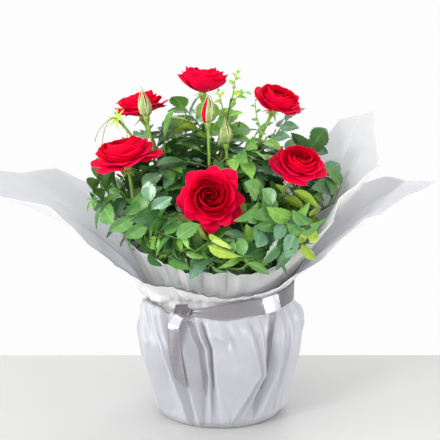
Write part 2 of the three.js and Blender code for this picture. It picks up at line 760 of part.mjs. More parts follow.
/** One compound leaf: its leaflets' flat shapes and the bend that carries them into place. */
function growLeaf(start, heading, pairs, size, random) {
  const outward = start.clone().sub(CROWN.heart).normalize();
  const face = UP.clone().multiplyScalar(LEAF.up).addScaledVector(outward, LEAF.outward);
  const normal = face.addScaledVector(heading, -face.dot(heading)).normalize();
  const across = normal.clone().cross(heading);
  const end = (LEAF.petiole + LEAF.pairSpacing * (pairs - 1) + LEAF.endSpacing) * size;
  const whole = end + LEAF.terminal * size;
  const carry = (x, y) =>
    start
      .clone()
      .addScaledVector(heading, x)
      .addScaledVector(across, y)
      .addScaledVector(UP, (-LEAF.droop * Math.max(x, 0) ** 2) / whole)
      .addScaledVector(normal, -LEAF.cup * y * y);
  const leaflets = [];
  for (let pair = 0; pair < pairs; pair++) {
    const station = (LEAF.petiole + LEAF.pairSpacing * pair) * size;
    for (const side of [-1, 1]) {
      const length = LEAF.lateral * size * (0.88 + 0.12 * random());
      leaflets.push(leafletShape(station, side, length, LEAF.sideAngle * (0.95 + 0.1 * random())));
    }
  }
  leaflets.push(leafletShape(end, 0, LEAF.terminal * size * (0.9 + 0.1 * random()), 0));
  return { normal, carry, leaflets, end };
}

/** Points over a leaflet, close enough together to stand for it in the clearance tests. */
function leafletSamples({ carry }, { at }) {
  const flat = [
    ...[0.2, 0.4, 0.6, 0.8, 1].map((a) => [a, 0]),
    ...[-1, 1].flatMap((b) => [
      [0.2, 0.45 * b],
      [0.4, b],
      [0.4, 0.5 * b],
      [0.62, 0.62 * b],
      [0.8, 0.3 * b],
    ]),
  ];
  return flat.map(([a, b]) => at(a, b)).map((p) => carry(p.x, p.y));
}

/** A leaf as one closed plate: its stalk's edge and its leaflets' outlines, bent together. */
function leafSolid({ normal, carry, leaflets, end }) {
  const half = LEAF.stalkHalf;
  const v2 = (x, y) => new THREE.Vector2(x, y);
  const outer = (leaflet) => [1, 0, -1].map((b) => leaflet.at(b === 0 ? 1 : 0.4, b));
  const flank = (side) =>
    leaflets
      .filter((leaflet) => leaflet.side === side)
      .flatMap((leaflet) => {
        const feet = [-half, half].map((offset) => v2(leaflet.station + offset, side * half));
        const edge = outer(leaflet);
        return side < 0 ? [feet[0], ...edge.reverse(), feet[1]] : [feet[0], ...edge, feet[1]];
      });
  const tip = leaflets.find((leaflet) => leaflet.side === 0);
  const right = [v2(0, -half), ...flank(-1), v2(end, -half)];
  const left = [v2(0, half), ...flank(1), v2(end, half)].reverse();
  const contour = [...right, ...(tip ? outer(tip).reverse() : []), ...left];
  const count = contour.length;
  const points = [0.5, -0.5].flatMap((level) =>
    contour.map(({ x, y }) => carry(x, y).addScaledVector(normal, level * LEAF.thickness)),
  );
  const index = THREE.ShapeUtils.triangulateShape(contour, []).flatMap(([a, b, c]) => [
    a, b, c, a + count, c + count, b + count,
  ]);
  for (let k = 0; k < count; k++) {
    const next = (k + 1) % count;
    index.push(k + count, next, k, k + count, next + count, next);
  }
  return solid(pointsGeometry(points, index));
}

/** A leaf at a place on a shoot with the leaflets of it that have room, or null for none. */
function tryLeaf(cell, shoot, t, azimuth, size, random, room) {
  const start = shoot.curve.getPointAt(t);
  const tangent = shoot.curve.getTangentAt(t);
  const [a, b] = sideways(tangent);
  const side = a.multiplyScalar(Math.cos(azimuth)).addScaledVector(b, Math.sin(azimuth));
  const lean = LEAF.lean * (0.8 + 0.35 * random());
  const heading = tangent.multiplyScalar(Math.cos(lean)).addScaledVector(side, Math.sin(lean)).normalize();
  const leaf = growLeaf(start, heading, random() < 0.55 ? 2 : 1, size, random);
  const others = cell.lines.filter((_, number) => number !== shoot.number);
  const apart = (lines, p) => lines.every((line) => distanceTo(line, p) > SHOOT_CLEARANCE);
  const stalk = [0.2, 0.4, 0.6, 0.8, 1].map((share) => leaf.carry(leaf.end * share, 0));
  const free = (p, lines, clearance) => room.owns(cell.name, p) && room.clear(p, clearance) && apart(lines, p);
  if (!stalk.every((p) => free(p, others, 2))) return null;
  const leaflets = leaf.leaflets.filter((leaflet) =>
    leafletSamples(leaf, leaflet).every((p) => free(p, cell.lines, LIMB_CLEARANCE)),
  );
  return leaflets.length < 2 ? null : { ...leaf, leaflets };
}

/** One mass of foliage: its forking shoots with the leaves that have room fused on. */
function makeMass(mass, seed, frame, room) {
  const random = seededRandom(seed);
  const cell = room.cells.find(({ name }) => name === mass);
  const shoots = frame.shoots.filter((s) => s.mass === mass);
  const leaves = [];
  let count = 0;
  for (const shoot of shoots) {
    const length = shoot.curve.getLength();
    const places = Math.floor((length - LEAF.bare) / LEAF.spacing);
    let azimuth = random() * TAU;
    for (let k = 0; k < places; k++) {
      const t = 1 - (3 + k * LEAF.spacing) / length;
      for (let attempt = 0; attempt < LEAF_TRIES; attempt++) {
        azimuth += LEAF.turn;
        const size = (1.12 - 0.018 * attempt) * (0.85 + 0.2 * random());
        const leaf = tryLeaf(cell, shoot, t, azimuth, size, random, room);
        const made = leaf && leafSolid(leaf);
        if (made && leaves.every((other) => made.intersect(other).isEmpty())) {
          leaves.push(made);
          count += leaf.leaflets.length;
          break;
        }
      }
    }
  }
  const stems = shoots.map(({ curve }) => solid(limb(curve, taper(SHOOT.foot, SHOOT.tip), 3, 4)));
  add("leaves_" + mass, fused([...stems, ...leaves]), materials.foliage);
  return count;
}

// ---------------------------------------------------------------- canes, stalks, buds

function makeCane({ name, curve }) {
  const length = curve.getLength();
  const flared = CANE.flareHeight / length;
  const radius = (t) => taper(CANE.foot, CANE.tip)(t) + (CANE.flare - CANE.foot) * Math.max(0, 1 - t / flared) ** 2;
  add("cane_" + name, solid(limb(curve, radius, 5, 5)), materials.cane);
}

/** A solid built standing on +Z at the origin, carried to a seat and turned to face a way. */
function seated(geometry, seat, facing) {
  const turn = new THREE.Quaternion().setFromUnitVectors(UP, facing);
  return geometry.applyQuaternion(turn).translate(seat.x, seat.y, seat.z);
}

/** Five sepals spread from the hip under the petals. */
function sepals(seat, facing, length) {
  const [a, b] = sideways(facing);
  return Array.from({ length: 5 }, (_, k) => {
    const angle = (k * TAU) / 5;
    const out = a.clone().multiplyScalar(Math.cos(angle)).addScaledVector(b, Math.sin(angle));
    const along = out.clone().addScaledVector(facing, -0.45).normalize();
    const across = along.clone().cross(facing).normalize();
    const normal = across.clone().cross(along).normalize();
    const root = seat.clone().addScaledVector(facing, -1.8).addScaledVector(out, STALK.hip * 0.4);
    return bladeSolid({ root, along, across, normal, length, half: length * 0.2 }, 0.9);
  });
}

/** A flower stalk with its five sepals; it swells into the hip under the flower. */
function makeStalk({ name, curve, seat, facing, radius }) {
  const length = curve.getLength();
  const swollen = (t) => {
    const below = ((1 - t) * length) / STALK.hipLength;
    return STALK.tip + (STALK.hip - STALK.tip) * Math.max(0, 1 - (below - 0.3) ** 2);
  };
  const stem = limb(curve, (t) => Math.max(taper(STALK.foot, STALK.tip)(t), swollen(t)), 5, 7);
  add("stalk_" + name, fused([solid(stem), ...sepals(seat, facing, radius * 0.5)]), materials.stalk);
}

function makeBud({ name, curve, seat, facing, length, radius }) {
  const profile = [
    [0, -2],
    [STALK.tip, -1.5],
    [radius * 0.8, length * 0.1],
    [radius, length * 0.3],
    [radius * 0.82, length * 0.52],
    [radius * 0.42, length * 0.74],
    [radius * 0.12, length],
    [0, length],
  ].map(([r, z]) => new THREE.Vector2(r, z));
  const body = new THREE.LatheGeometry(profile, 7).rotateX(Math.PI / 2);
  const stem = limb(curve, taper(STALK.foot, STALK.tip), 5, 5);
  add("bud_" + name, fused([solid(seated(body, seat, facing)), solid(stem)]), materials.stalk);
}

// ---------------------------------------------------------------- blooms

// The rings of petals, outermost first: how many lobes, where the ring leaves the core, how
// far it reaches and how high its edge stands, as shares of the flower's radius, for an
// open flower and for a closed cup.
const PETAL_RINGS = [
  { lobes: 7, sides: 3, foot: 0.16, open: { reach: 1.0, rise: 0.14 }, cup: { reach: 0.9, rise: 0.8 }, turn: 0 },
  { lobes: 5, sides: 2, foot: 0.36, open: { reach: 0.7, rise: 0.56 }, cup: { reach: 0.6, rise: 1.0 }, turn: 0.5 },
];
const PETAL = { thickness: 1.1, rows: 2, notch: 0.2, core: 0.34 };

/** A ring of petals round +Z: a dished sheet whose edge is cut into pointed lobes. */
function petalRing({ lobes, sides, foot, open, cup: closed, turn }, radius, cup, number) {
  const reach = open.reach + (closed.reach - open.reach) * cup;
  const rise = open.rise + (closed.rise - open.rise) * cup;
  const headings = Array.from({ length: lobes * sides }, (_, k) => ((k / sides + turn) * TAU) / lobes + number);
  const profileAt = (angle) => {
    const lobe = Math.abs(Math.sin(((angle - number) * lobes) / 2 - turn * Math.PI));
    const share = 1 - PETAL.notch * (1 - lobe);
    return Array.from({ length: PETAL.rows + 1 }, (_, j) => {
      const v = j / PETAL.rows;
      const out = PETAL.core * 0.7 + (reach * share - PETAL.core * 0.7) * v;
      const height = foot + (rise - foot) * v ** (1 + cup) - 0.05 * lobe * v ** 3;
      return new THREE.Vector2(out * radius, height * radius);
    });
  };
  return wrappedSheet(headings, profileAt, PETAL.thickness);
}

function makeRose({ name, seat, facing, radius, cup }, number) {
  const height = radius * (0.72 + 0.2 * cup);
  const core = [
    [0, GAP],
    [STALK.hip * 0.8, GAP],
    [radius * PETAL.core * 0.85, radius * 0.1],
    [radius * PETAL.core, height * 0.75],
    [radius * 0.14, height],
    [0, height * 0.9],
  ].map(([r, z]) => new THREE.Vector2(r, z));
  const parts = PETAL_RINGS.map((ring) => petalRing(ring, radius, cup, number));
  parts.push(new THREE.LatheGeometry(core, 8).rotateX(Math.PI / 2));
  add("rose_" + name, fused(parts.map((g) => solid(seated(g, seat, facing)))), materials.petal);
}

// ---------------------------------------------------------------- assembly

const MASS_SEED = 41;

makePot();
makeSoil();
makeOuterWrap();
makeInnerWrap();
makeRibbonBand();
makeRibbonTail(makeRibbonKnot());
const frame = growFrame();
const room = new Room(frame);
frame.canes.forEach(makeCane);
frame.stalks.forEach(makeStalk);
frame.stalks.forEach(makeRose);
frame.buds.forEach(makeBud);
const counts = MASSES.map(({ name }, k) => makeMass(name, MASS_SEED + 97 * k, frame, room));
console.log("leaflets per mass", counts.join(" "), "total", counts.reduce((a, b) => a + b));

export default group;
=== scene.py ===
"""A miniature rose bush in its pot, wrapped in two sheets of paper tied with a satin ribbon.

All sizes are millimetres, +Z up, with the origin in the middle of the wrapping's underside.
Each mesh is scaled to metres as it is made.
"""

from __future__ import annotations

import logging
import math
from dataclasses import dataclass, field
from enum import Enum

import bpy
import numpy as np
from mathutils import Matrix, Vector, noise
from mathutils.bvhtree import BVHTree

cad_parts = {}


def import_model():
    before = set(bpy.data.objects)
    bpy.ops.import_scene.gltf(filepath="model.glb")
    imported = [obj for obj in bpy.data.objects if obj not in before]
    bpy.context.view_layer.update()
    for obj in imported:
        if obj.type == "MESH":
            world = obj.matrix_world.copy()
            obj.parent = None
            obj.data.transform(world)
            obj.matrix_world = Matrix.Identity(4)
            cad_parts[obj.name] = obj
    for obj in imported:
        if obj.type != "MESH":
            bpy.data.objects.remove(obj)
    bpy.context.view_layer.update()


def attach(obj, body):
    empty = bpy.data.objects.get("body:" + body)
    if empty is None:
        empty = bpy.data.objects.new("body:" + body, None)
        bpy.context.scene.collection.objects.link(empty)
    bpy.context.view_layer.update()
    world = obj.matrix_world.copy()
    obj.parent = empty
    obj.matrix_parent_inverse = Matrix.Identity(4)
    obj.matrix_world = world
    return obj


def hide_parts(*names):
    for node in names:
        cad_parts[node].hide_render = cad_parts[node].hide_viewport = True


LOG = logging.getLogger("rose_bush")
MM = 0.001
TAU = 2 * math.pi
UP = np.array((0.0, 0.0, 1.0))
Point = tuple[float, float, float]
Colour = tuple[float, float, float]


# ---------------------------------------------------------------- helpers


def unit(v: np.ndarray) -> np.ndarray:
    """The direction of a vector, or of each row of an array of vectors."""
    return v / np.maximum(np.linalg.norm(v, axis=-1, keepdims=True), 1e-9)


def direction(v: Point) -> np.ndarray:
    """Three numbers as a direction."""
    return unit(np.array(v, float))


def sideways(heading: np.ndarray) -> tuple[np.ndarray, np.ndarray]:
    """Two directions square to a heading and to each other."""
    reference = np.array((1.0, 0, 0)) if abs(heading[0]) < 0.9 else np.array((0, 1.0, 0))
    a = unit(np.cross(heading, reference))
    return a, np.cross(heading, a)


def spots(x: np.ndarray | float, y: np.ndarray | float, z: np.ndarray | float) -> np.ndarray:
    """Places from three coordinates, each spread to the shape of the others."""
    return np.stack(np.broadcast_arrays(x, y, z), -1)


def smooth(x: np.ndarray | float, low: float, high: float) -> np.ndarray | float:
    """A soft step from 0 at low to 1 at high."""
    t = np.clip((x - low) / (high - low), 0, 1)
    return t * t * (3 - 2 * t)


class Dice:
    """A repeatable stream of numbers from 0 to 1."""

    def __init__(self, seed: int) -> None:
        """Start the stream at a seed."""
        self.state = seed & 0xFFFFFFFF

    def roll(self) -> float:
        """The next number."""
        self.state = (self.state * 1664525 + 1013904223) & 0xFFFFFFFF
        return self.state / 4294967296

    def span(self, low: float, high: float) -> float:
        """The next number, between low and high."""
        return low + (high - low) * self.roll()


class Arc:
    """A cubic curve between two points with given headings, measured along its length."""

    def __init__(self, start: np.ndarray, heading: np.ndarray, end: np.ndarray, arrival: np.ndarray, swing: float = 0.36) -> None:
        """Lay the curve out.

        Args:
            start: Where it sets out.
            heading: The way it sets out.
            end: Where it arrives.
            arrival: The way it arrives.
            swing: How far the handles reach, as a share of the distance.
        """
        reach = np.linalg.norm(end - start) * swing
        hands = np.array((start, start + heading * reach, end - arrival * reach, end))
        t = np.linspace(0, 1, 81)[:, None]
        s = 1 - t
        self.line = s**3 * hands[0] + 3 * s * s * t * hands[1] + 3 * s * t * t * hands[2] + t**3 * hands[3]
        steps = np.linalg.norm(np.diff(self.line, axis=0), axis=1)
        self.marks = np.concatenate(((0.0,), np.cumsum(steps)))
        self.length = float(self.marks[-1])

    def at(self, t: float | np.ndarray) -> np.ndarray:
        """The point, or points, a share of the way along."""
        along = np.asarray(t, float) * self.length
        return np.stack([np.interp(along, self.marks, self.line[:, k]) for k in range(3)], axis=-1)

    def heading(self, t: float) -> np.ndarray:
        """The way the curve runs a share of the way along."""
        a, b = max(t - 0.01, 0.0), min(t + 0.01, 1.0)
        return unit(self.at(b) - self.at(a))


def grid_faces(rows: int, columns: int, closed: bool = False) -> np.ndarray:
    """The quads of a grid of points.

    Args:
        rows: How many rows of points.
        columns: How many points in a row.
        closed: Whether each row joins up with itself.

    Returns:
        Four point numbers for each quad.
    """
    j, i = np.meshgrid(np.arange(rows - 1), np.arange(columns if closed else columns - 1), indexing="ij")
    nxt = (i + 1) % columns
    return np.stack((j * columns + i, j * columns + nxt, (j + 1) * columns + nxt, (j + 1) * columns + i), -1).reshape(-1, 4)


def tube(line: np.ndarray, radii: np.ndarray, sides: int) -> tuple[np.ndarray, np.ndarray]:
    """A round limb along a line of points, drawn to a point at each end.

    Args:
        line: The points down its middle.
        radii: Its radius at each point, or at each point and side.
        sides: How many sides it has.

    Returns:
        Its points and its quads.
    """
    headings = unit(np.gradient(line, axis=0))
    a = sideways(headings[0])[0]
    rings = []
    angles = np.arange(sides) * TAU / sides
    radii = np.broadcast_to(radii.reshape(len(line), -1), (len(line), sides))
    for place, heading, radius in zip(line, headings, radii):
        a = unit(a - heading * np.dot(a, heading))
        b = np.cross(heading, a)
        rings.append(place + radius[:, None] * (np.cos(angles)[:, None] * a + np.sin(angles)[:, None] * b))
    rings = [np.repeat(line[:1], sides, 0), *rings, np.repeat(line[-1:], sides, 0)]
    return np.concatenate(rings), grid_faces(len(rings), sides, closed=True)


def grain(points: np.ndarray, size: float, seed: float = 0.0) -> np.ndarray:
    """Soft noise from about -1 to 1 at each point, with features of a size in millimetres."""
    flat = points.reshape(-1, 3) / size + seed
    values = np.fromiter((noise.noise(Vector(p)) for p in flat), float, len(flat))
    return values.reshape(points.shape[:-1])


def crumple(points: np.ndarray, size: float, seed: float = 0.0) -> np.ndarray:
    """The facets of crumpled paper: 0 on the creases, rising to 1 in the middle of a facet."""
    flat = points.reshape(-1, 3) / size + seed
    values = np.empty(len(flat))
    for k, p in enumerate(flat):
        near = noise.voronoi(Vector(p))[0]
        values[k] = near[1] - near[0]
    return values.reshape(points.shape[:-1])


class JoinedMesh:
    """One mesh gathered from many small shapes, each face with the number of its finish."""

    def __init__(self) -> None:
        """Start with no shapes."""
        self.points: list[np.ndarray] = []
        self.corners: list[np.ndarray] = []
        self.sizes: list[np.ndarray] = []
        self.finishes: list[np.ndarray] = []
        self.count = 0

    def add(self, points: np.ndarray, faces: np.ndarray, finish: int | np.ndarray = 0) -> None:
        """Add a shape.

        Args:
            points: Its points in millimetres.
            faces: Its faces, all with the same number of corners.
            finish: The number of the finish, for all of them or for each.
        """
        faces = np.asarray(faces, np.int32)
        self.points.append(points.reshape(-1, 3))
        self.corners.append((faces + self.count).ravel())
        self.sizes.append(np.full(len(faces), faces.shape[1], np.int32))
        self.finishes.append(np.broadcast_to(np.asarray(finish, np.int32), (len(faces),)))
        self.count += len(self.points[-1])

    def make(self, name: str, finishes: list["Finish"], slot: str, nodes: tuple[str, ...]) -> bpy.types.Object:
        """Turn the shapes into one piece of the scene.

        Args:
            name: The piece's name.
            finishes: Its finishes, in the order of their numbers.
            slot: The material slot of the record; not used.
            nodes: The solids that it stands for.

        Returns:
            The piece.
        """
        mesh = bpy.data.meshes.new(name)
        corners = np.concatenate(self.corners)
        sizes = np.concatenate(self.sizes)
        mesh.vertices.add(self.count)
        mesh.vertices.foreach_set("co", (np.concatenate(self.points) * MM).astype(np.float32).ravel())
        mesh.loops.add(len(corners))
        mesh.loops.foreach_set("vertex_index", corners)
        mesh.polygons.add(len(sizes))
        mesh.polygons.foreach_set("loop_start", np.concatenate(((0,), np.cumsum(sizes)[:-1])).astype(np.int32))
        for finish in finishes:
            mesh.materials.append(finish.material())
        mesh.polygons.foreach_set("material_index", np.concatenate(self.finishes))
        mesh.polygons.foreach_set("use_smooth", np.ones(len(sizes), bool))
        mesh.update(calc_edges=True)
        mesh.validate()
        piece = bpy.data.objects.new(name, mesh)
        bpy.context.scene.collection.objects.link(piece)
        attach(piece, "root")
        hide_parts(*nodes)
        LOG.info("%s: %d faces", name, len(sizes))
        return piece


# ---------------------------------------------------------------- finishes


class Bench:
    """A material's nodes, with the few kinds that the finishes here use."""

    def __init__(self, name: str) -> None:
        """Start a material with one shader.

        Args:
            name: The material's name.
        """
        self.material = bpy.data.materials.new(name)
        self.material.use_nodes = True
        self.tree = self.material.node_tree
        self.tree.nodes.clear()
        self.shader = self.tree.nodes.new("ShaderNodeBsdfPrincipled")
        output = self.tree.nodes.new("ShaderNodeOutputMaterial")
        self.tree.links.new(self.shader.outputs[0], output.inputs["Surface"])
        self.place = self.tree.nodes.new("ShaderNodeTexCoord").outputs["Object"]

    def put(self, socket: str, value: float | Colour | bpy.types.NodeSocket) -> None:
        """Set one of the shader's sockets, or link it."""
        target = self.shader.inputs[socket]
        if isinstance(value, bpy.types.NodeSocket):
            self.tree.links.new(value, target)
        elif isinstance(value, tuple) and len(target.default_value) == 4:
            target.default_value = (*value, 1.0)
        else:
            target.default_value = value

    def noise(self, size: float, stretch: Point = (1, 1, 1), detail: float = 3.0) -> bpy.types.NodeSocket:
        """Noise with features of a size in millimetres, drawn out along each axis by stretch."""
        mapping = self.tree.nodes.new("ShaderNodeMapping")
        mapping.inputs["Scale"].default_value = tuple(1 / s for s in stretch)
        self.tree.links.new(self.place, mapping.inputs["Vector"])
        made = self.tree.nodes.new("ShaderNodeTexNoise")
        made.inputs["Scale"].default_value = 1 / (size * MM)
        made.inputs["Detail"].default_value = detail
        self.tree.links.new(mapping.outputs[0], made.inputs["Vector"])
        return made.outputs["Fac"]

    def blend(self, factor: bpy.types.NodeSocket, stops: list[tuple[float, Colour]]) -> bpy.types.NodeSocket:
        """Colours along a factor."""
        ramp = self.tree.nodes.new("ShaderNodeValToRGB")
        self.tree.links.new(factor, ramp.inputs["Fac"])
        while len(ramp.color_ramp.elements) < len(stops):
            ramp.color_ramp.elements.new(0.5)
        for element, (place, colour) in zip(ramp.color_ramp.elements, stops):
            element.position = place
            element.color = (*colour, 1.0)
        return ramp.outputs["Color"]

    def relief(self, height: bpy.types.NodeSocket, depth: float, strength: float) -> None:
        """Let the light catch a fine relief, depth in millimetres."""
        bump = self.tree.nodes.new("ShaderNodeBump")
        bump.inputs["Strength"].default_value = strength
        bump.inputs["Distance"].default_value = depth * MM
        self.tree.links.new(height, bump.inputs["Height"])
        self.tree.links.new(bump.outputs["Normal"], self.shader.inputs["Normal"])


def tint(colour: Colour, factor: float) -> Colour:
    """A colour made darker or lighter by a factor."""
    return tuple(min(c * factor, 1.0) for c in colour)


@dataclass(frozen=True)
class Finish:
    """What a surface is made of: its colour, how much it varies, its gloss and its grain."""

    name: str
    colour: Colour
    roughness: float = 0.5
    vary: float = 0.15
    patch: float = 8.0
    stretch: Point = (1, 1, 1)
    grain_size: float = 1.0
    grain_depth: float = 0.1
    grain_strength: float = 0.3
    sheen: float = 0.0
    sheen_roughness: float = 0.4
    sheen_tint: Colour = (1, 1, 1)
    coat: float = 0.0
    specular: float = 0.5
    glow: float = 0.0
    glow_depth: float = 1.0

    def material(self) -> bpy.types.Material:
        """The finish as a material, made once."""
        known = bpy.data.materials.get(self.name)
        if known:
            return known
        bench = Bench(self.name)
        stops = [(0.3, tint(self.colour, 1 - self.vary)), (0.7, tint(self.colour, 1 + self.vary))]
        bench.put("Base Color", bench.blend(bench.noise(self.patch, self.stretch), stops))
        bench.put("Roughness", self.roughness)
        bench.put("Specular IOR Level", self.specular)
        bench.put("Sheen Weight", self.sheen)
        bench.put("Sheen Roughness", self.sheen_roughness)
        bench.put("Sheen Tint", self.sheen_tint)
        bench.put("Coat Weight", self.coat)
        bench.put("Coat Roughness", 0.3)
        if self.glow:
            bench.put("Subsurface Weight", self.glow)
            bench.shader.inputs["Subsurface Radius"].default_value = tuple(c * 0.9 + 0.1 for c in self.colour)
            bench.put("Subsurface Scale", self.glow_depth * MM)
        bench.relief(bench.noise(self.grain_size, self.stretch, 4.0), self.grain_depth, self.grain_strength)
        return bench.material


SKIRT_PAPER = Finish("satin_grey_paper", (0.50, 0.505, 0.545), 0.36, 0.05, 20, grain_size=2.5, grain_depth=0.1, grain_strength=0.25, specular=0.55, glow=0.2, glow_depth=1.0)
# Painted shade: darker copies of the skirt's paper, laid on pleat faces turned away from the light and, darker still,
# as painted shadow in pleat bottoms.
SKIRT_PAINTED_SHADE = Finish("satin_grey_paper_painted_shade", (0.45, 0.452, 0.49), 0.36, 0.05, 20, grain_size=2.5, grain_depth=0.1, grain_strength=0.25, specular=0.55, glow=0.2, glow_depth=1.0)
SKIRT_PAINTED_PLEAT_SHADOW = Finish("satin_grey_paper_painted_pleat_shadow", (0.325, 0.315, 0.34), 0.4, 0.06, 12, grain_size=2.5, grain_depth=0.1, grain_strength=0.25, specular=0.4, glow=0.2, glow_depth=1.0)
# Painted light: the outer collar's underside is painted much lighter than the skirt's grey, for light that shines
# through the paper.
COLLAR_PAINTED_LIGHT = Finish("satin_grey_paper_collar_painted_light", (0.80, 0.805, 0.83), 0.4, 0.03, 30, grain_size=2.5, grain_depth=0.08, grain_strength=0.2, specular=0.5, glow=0.85, glow_depth=4)
COLLAR_LINING = Finish("grey_paper_lining", (0.525, 0.53, 0.56), 0.5, 0.03, 30, grain_size=2.5, grain_depth=0.08, grain_strength=0.2, specular=0.3, glow=0.85, glow_depth=4)
# Painted light and shade: the inner sheet is one white paper, its shaded outside painted lighter and its lit inside
# painted darker.
INNER_PAINTED_LIGHT = Finish("soft_white_paper_painted_light", (0.95, 0.925, 0.90), 0.5, 0.025, 30, grain_size=2.5, grain_depth=0.08, grain_strength=0.2, specular=0.4, glow=0.85, glow_depth=6)
INNER_PAINTED_SHADE = Finish("white_paper_painted_shade", (0.55, 0.555, 0.575), 0.5, 0.025, 30, grain_size=2.5, grain_depth=0.08, grain_strength=0.2, specular=0.3, glow=0.85, glow_depth=6)
# Painted shadow: a dark strip along the front of the collar's lip.
PAPER_EDGE_PAINTED_SHADOW = Finish("paper_edge_painted_shadow", (0.17, 0.18, 0.22), 0.5, 0.35, 3)
SATIN = Finish("grey_mauve_satin", (0.225, 0.212, 0.232), 0.3, 0.06, 3, (6, 6, 1), grain_size=0.5, grain_depth=0.06, grain_strength=0.35, sheen=0.5, sheen_roughness=0.3, specular=0.8)
# Painted highlight and painted shade: lighter and darker copies of the satin, laid on the band, knot and tail where
# light catches them or shade falls.
SATIN_PAINTED_HIGHLIGHT = Finish("grey_mauve_satin_painted_highlight", (0.54, 0.54, 0.60), 0.3, 0.04, 3, grain_size=0.5, grain_depth=0.06, grain_strength=0.3, specular=0.8)
SATIN_PAINTED_SHADE = Finish("grey_mauve_satin_painted_shade", (0.125, 0.115, 0.13), 0.4, 0.06, 3, grain_size=0.5, grain_depth=0.06, grain_strength=0.3, sheen=0.3)
SATINS = [SATIN, SATIN_PAINTED_HIGHLIGHT, SATIN_PAINTED_SHADE]
POT_PLASTIC = Finish("brown_pot_plastic", (0.105, 0.062, 0.043), 0.5, 0.1, 12, grain_size=0.7, grain_depth=0.05)
SOIL = Finish("moist_potting_soil", (0.030, 0.018, 0.011), 0.95, 0.5, 3, grain_size=1.4, grain_depth=0.6, grain_strength=0.8)
SOIL_CRUMB = Finish("pale_soil_crumbs", (0.10, 0.065, 0.04), 0.95, 0.4, 2)
CANE_BARK = Finish("green_cane_bark", (0.11, 0.19, 0.04), 0.5, 0.35, 6, (1, 1, 5), grain_size=0.8, grain_depth=0.15, grain_strength=0.5)
THORN = Finish("red_brown_thorn", (0.19, 0.045, 0.03), 0.45, 0.2, 1)
TWIG_BARK = Finish("leaf_stalk_green", (0.13, 0.24, 0.045), 0.5, 0.25, 5)
STALK_SKIN = Finish("flower_stalk_green", (0.27, 0.46, 0.07), 0.42, 0.14, 5, grain_size=0.8, grain_depth=0.05, glow=0.1)
SEPAL_SKIN = Finish("sepal_green", (0.31, 0.45, 0.13), 0.5, 0.2, 3, grain_size=0.8, grain_depth=0.08)
SEPAL_EDGE = Finish("pale_sepal_edge", (0.62, 0.70, 0.38), 0.5, 0.15, 2)


class Tone(Enum):
    """The greens of the leaves, each with its blade and its midrib."""

    DEEP = (Finish("leaf_deep_green", (0.060, 0.190, 0.055), 0.32, 0.2, 5, grain_size=1.2, specular=0.85), Finish("leaf_deep_rib", (0.13, 0.30, 0.09), 0.45))
    MID = (Finish("leaf_mid_green", (0.125, 0.340, 0.065), 0.34, 0.2, 5, grain_size=1.2, specular=0.85), Finish("leaf_mid_rib", (0.24, 0.47, 0.13), 0.45))
    BLUE = (Finish("leaf_blue_green", (0.150, 0.335, 0.185), 0.28, 0.18, 5, grain_size=1.2, specular=1.0), Finish("leaf_blue_rib", (0.28, 0.48, 0.28), 0.45))
    FRESH = (Finish("leaf_fresh_green", (0.260, 0.540, 0.085), 0.36, 0.16, 5, grain_size=1.2), Finish("leaf_fresh_rib", (0.40, 0.64, 0.17), 0.45))
    YOUNG = (Finish("leaf_young_green", (0.430, 0.640, 0.070), 0.40, 0.14, 5, grain_size=1.2), Finish("leaf_young_rib", (0.56, 0.74, 0.19), 0.45))

    @property
    def number(self) -> int:
        """The tone's place in a leaf mesh's finishes: its blade's number, with its rib's after it."""
        return 2 * list(Tone).index(self)

    @classmethod
    def finishes(cls) -> list[Finish]:
        """Blade and rib of every tone, in order."""
        return [finish for tone in cls for finish in tone.value]


class Bloom(Enum):
    """The reds of a flower, from its heart to the rims of its petals; the heart's darker red is painted shade."""

    HEART = Finish("petal_heart_painted_shade", (0.62, 0.0015, 0.016), 0.7, 0.2, 3, grain_size=0.7, specular=0.08, sheen=0.15, sheen_tint=(1, 0.04, 0.1))
    INNER = Finish("petal_inner", (0.84, 0.002, 0.026), 0.7, 0.14, 3, grain_size=0.7, specular=0.05, sheen=0.3, sheen_tint=(1, 0.01, 0.12))
    OUTER = Finish("petal_outer", (0.88, 0.0015, 0.046), 0.65, 0.08, 4, grain_size=0.7, specular=0.05, sheen=0.3, sheen_tint=(1, 0.01, 0.16))
    RIM = Finish("petal_rim", (0.95, 0.004, 0.088), 0.6, 0.04, 2, grain_size=0.7, specular=0.08, sheen=0.3, sheen_tint=(1, 0.02, 0.2))

    @property
    def number(self) -> int:
        """The red's place in a flower mesh's finishes."""
        return list(Bloom).index(self)


# ---------------------------------------------------------------- wrapping


@dataclass(frozen=True)
class Corner:
    """A corner of a sheet's free edge: heading in degrees, distance from the axis, height, and how far the sheet bows up."""

    heading: float
    reach: float
    height: float
    bow: float


@dataclass(frozen=True)
class Fold:
    """A crease down the skirt: its heading in degrees and how far out it lies, at each of the fold heights."""

    headings: tuple[float, float, float, float]
    out: tuple[float, float, float, float]


@dataclass(frozen=True)
class Ray:
    """A fold that runs out along a collar: heading in degrees, half width in degrees, depth."""

    heading: float
    width: float
    depth: float


@dataclass
class Neck:
    """Where the ribbon gathers the paper."""

    height: float = 111.0
    tilt: float = 0.06
    half: float = 9.0
    inner: float = 63.3
    outer: float = 65.3
    ribbon: float = 67.3
    tuck: float = 14.0

    def middle(self, x: np.ndarray | float) -> np.ndarray | float:
        """The height of the ribbon's middle at a distance to the right."""
        return self.height + self.tilt * x


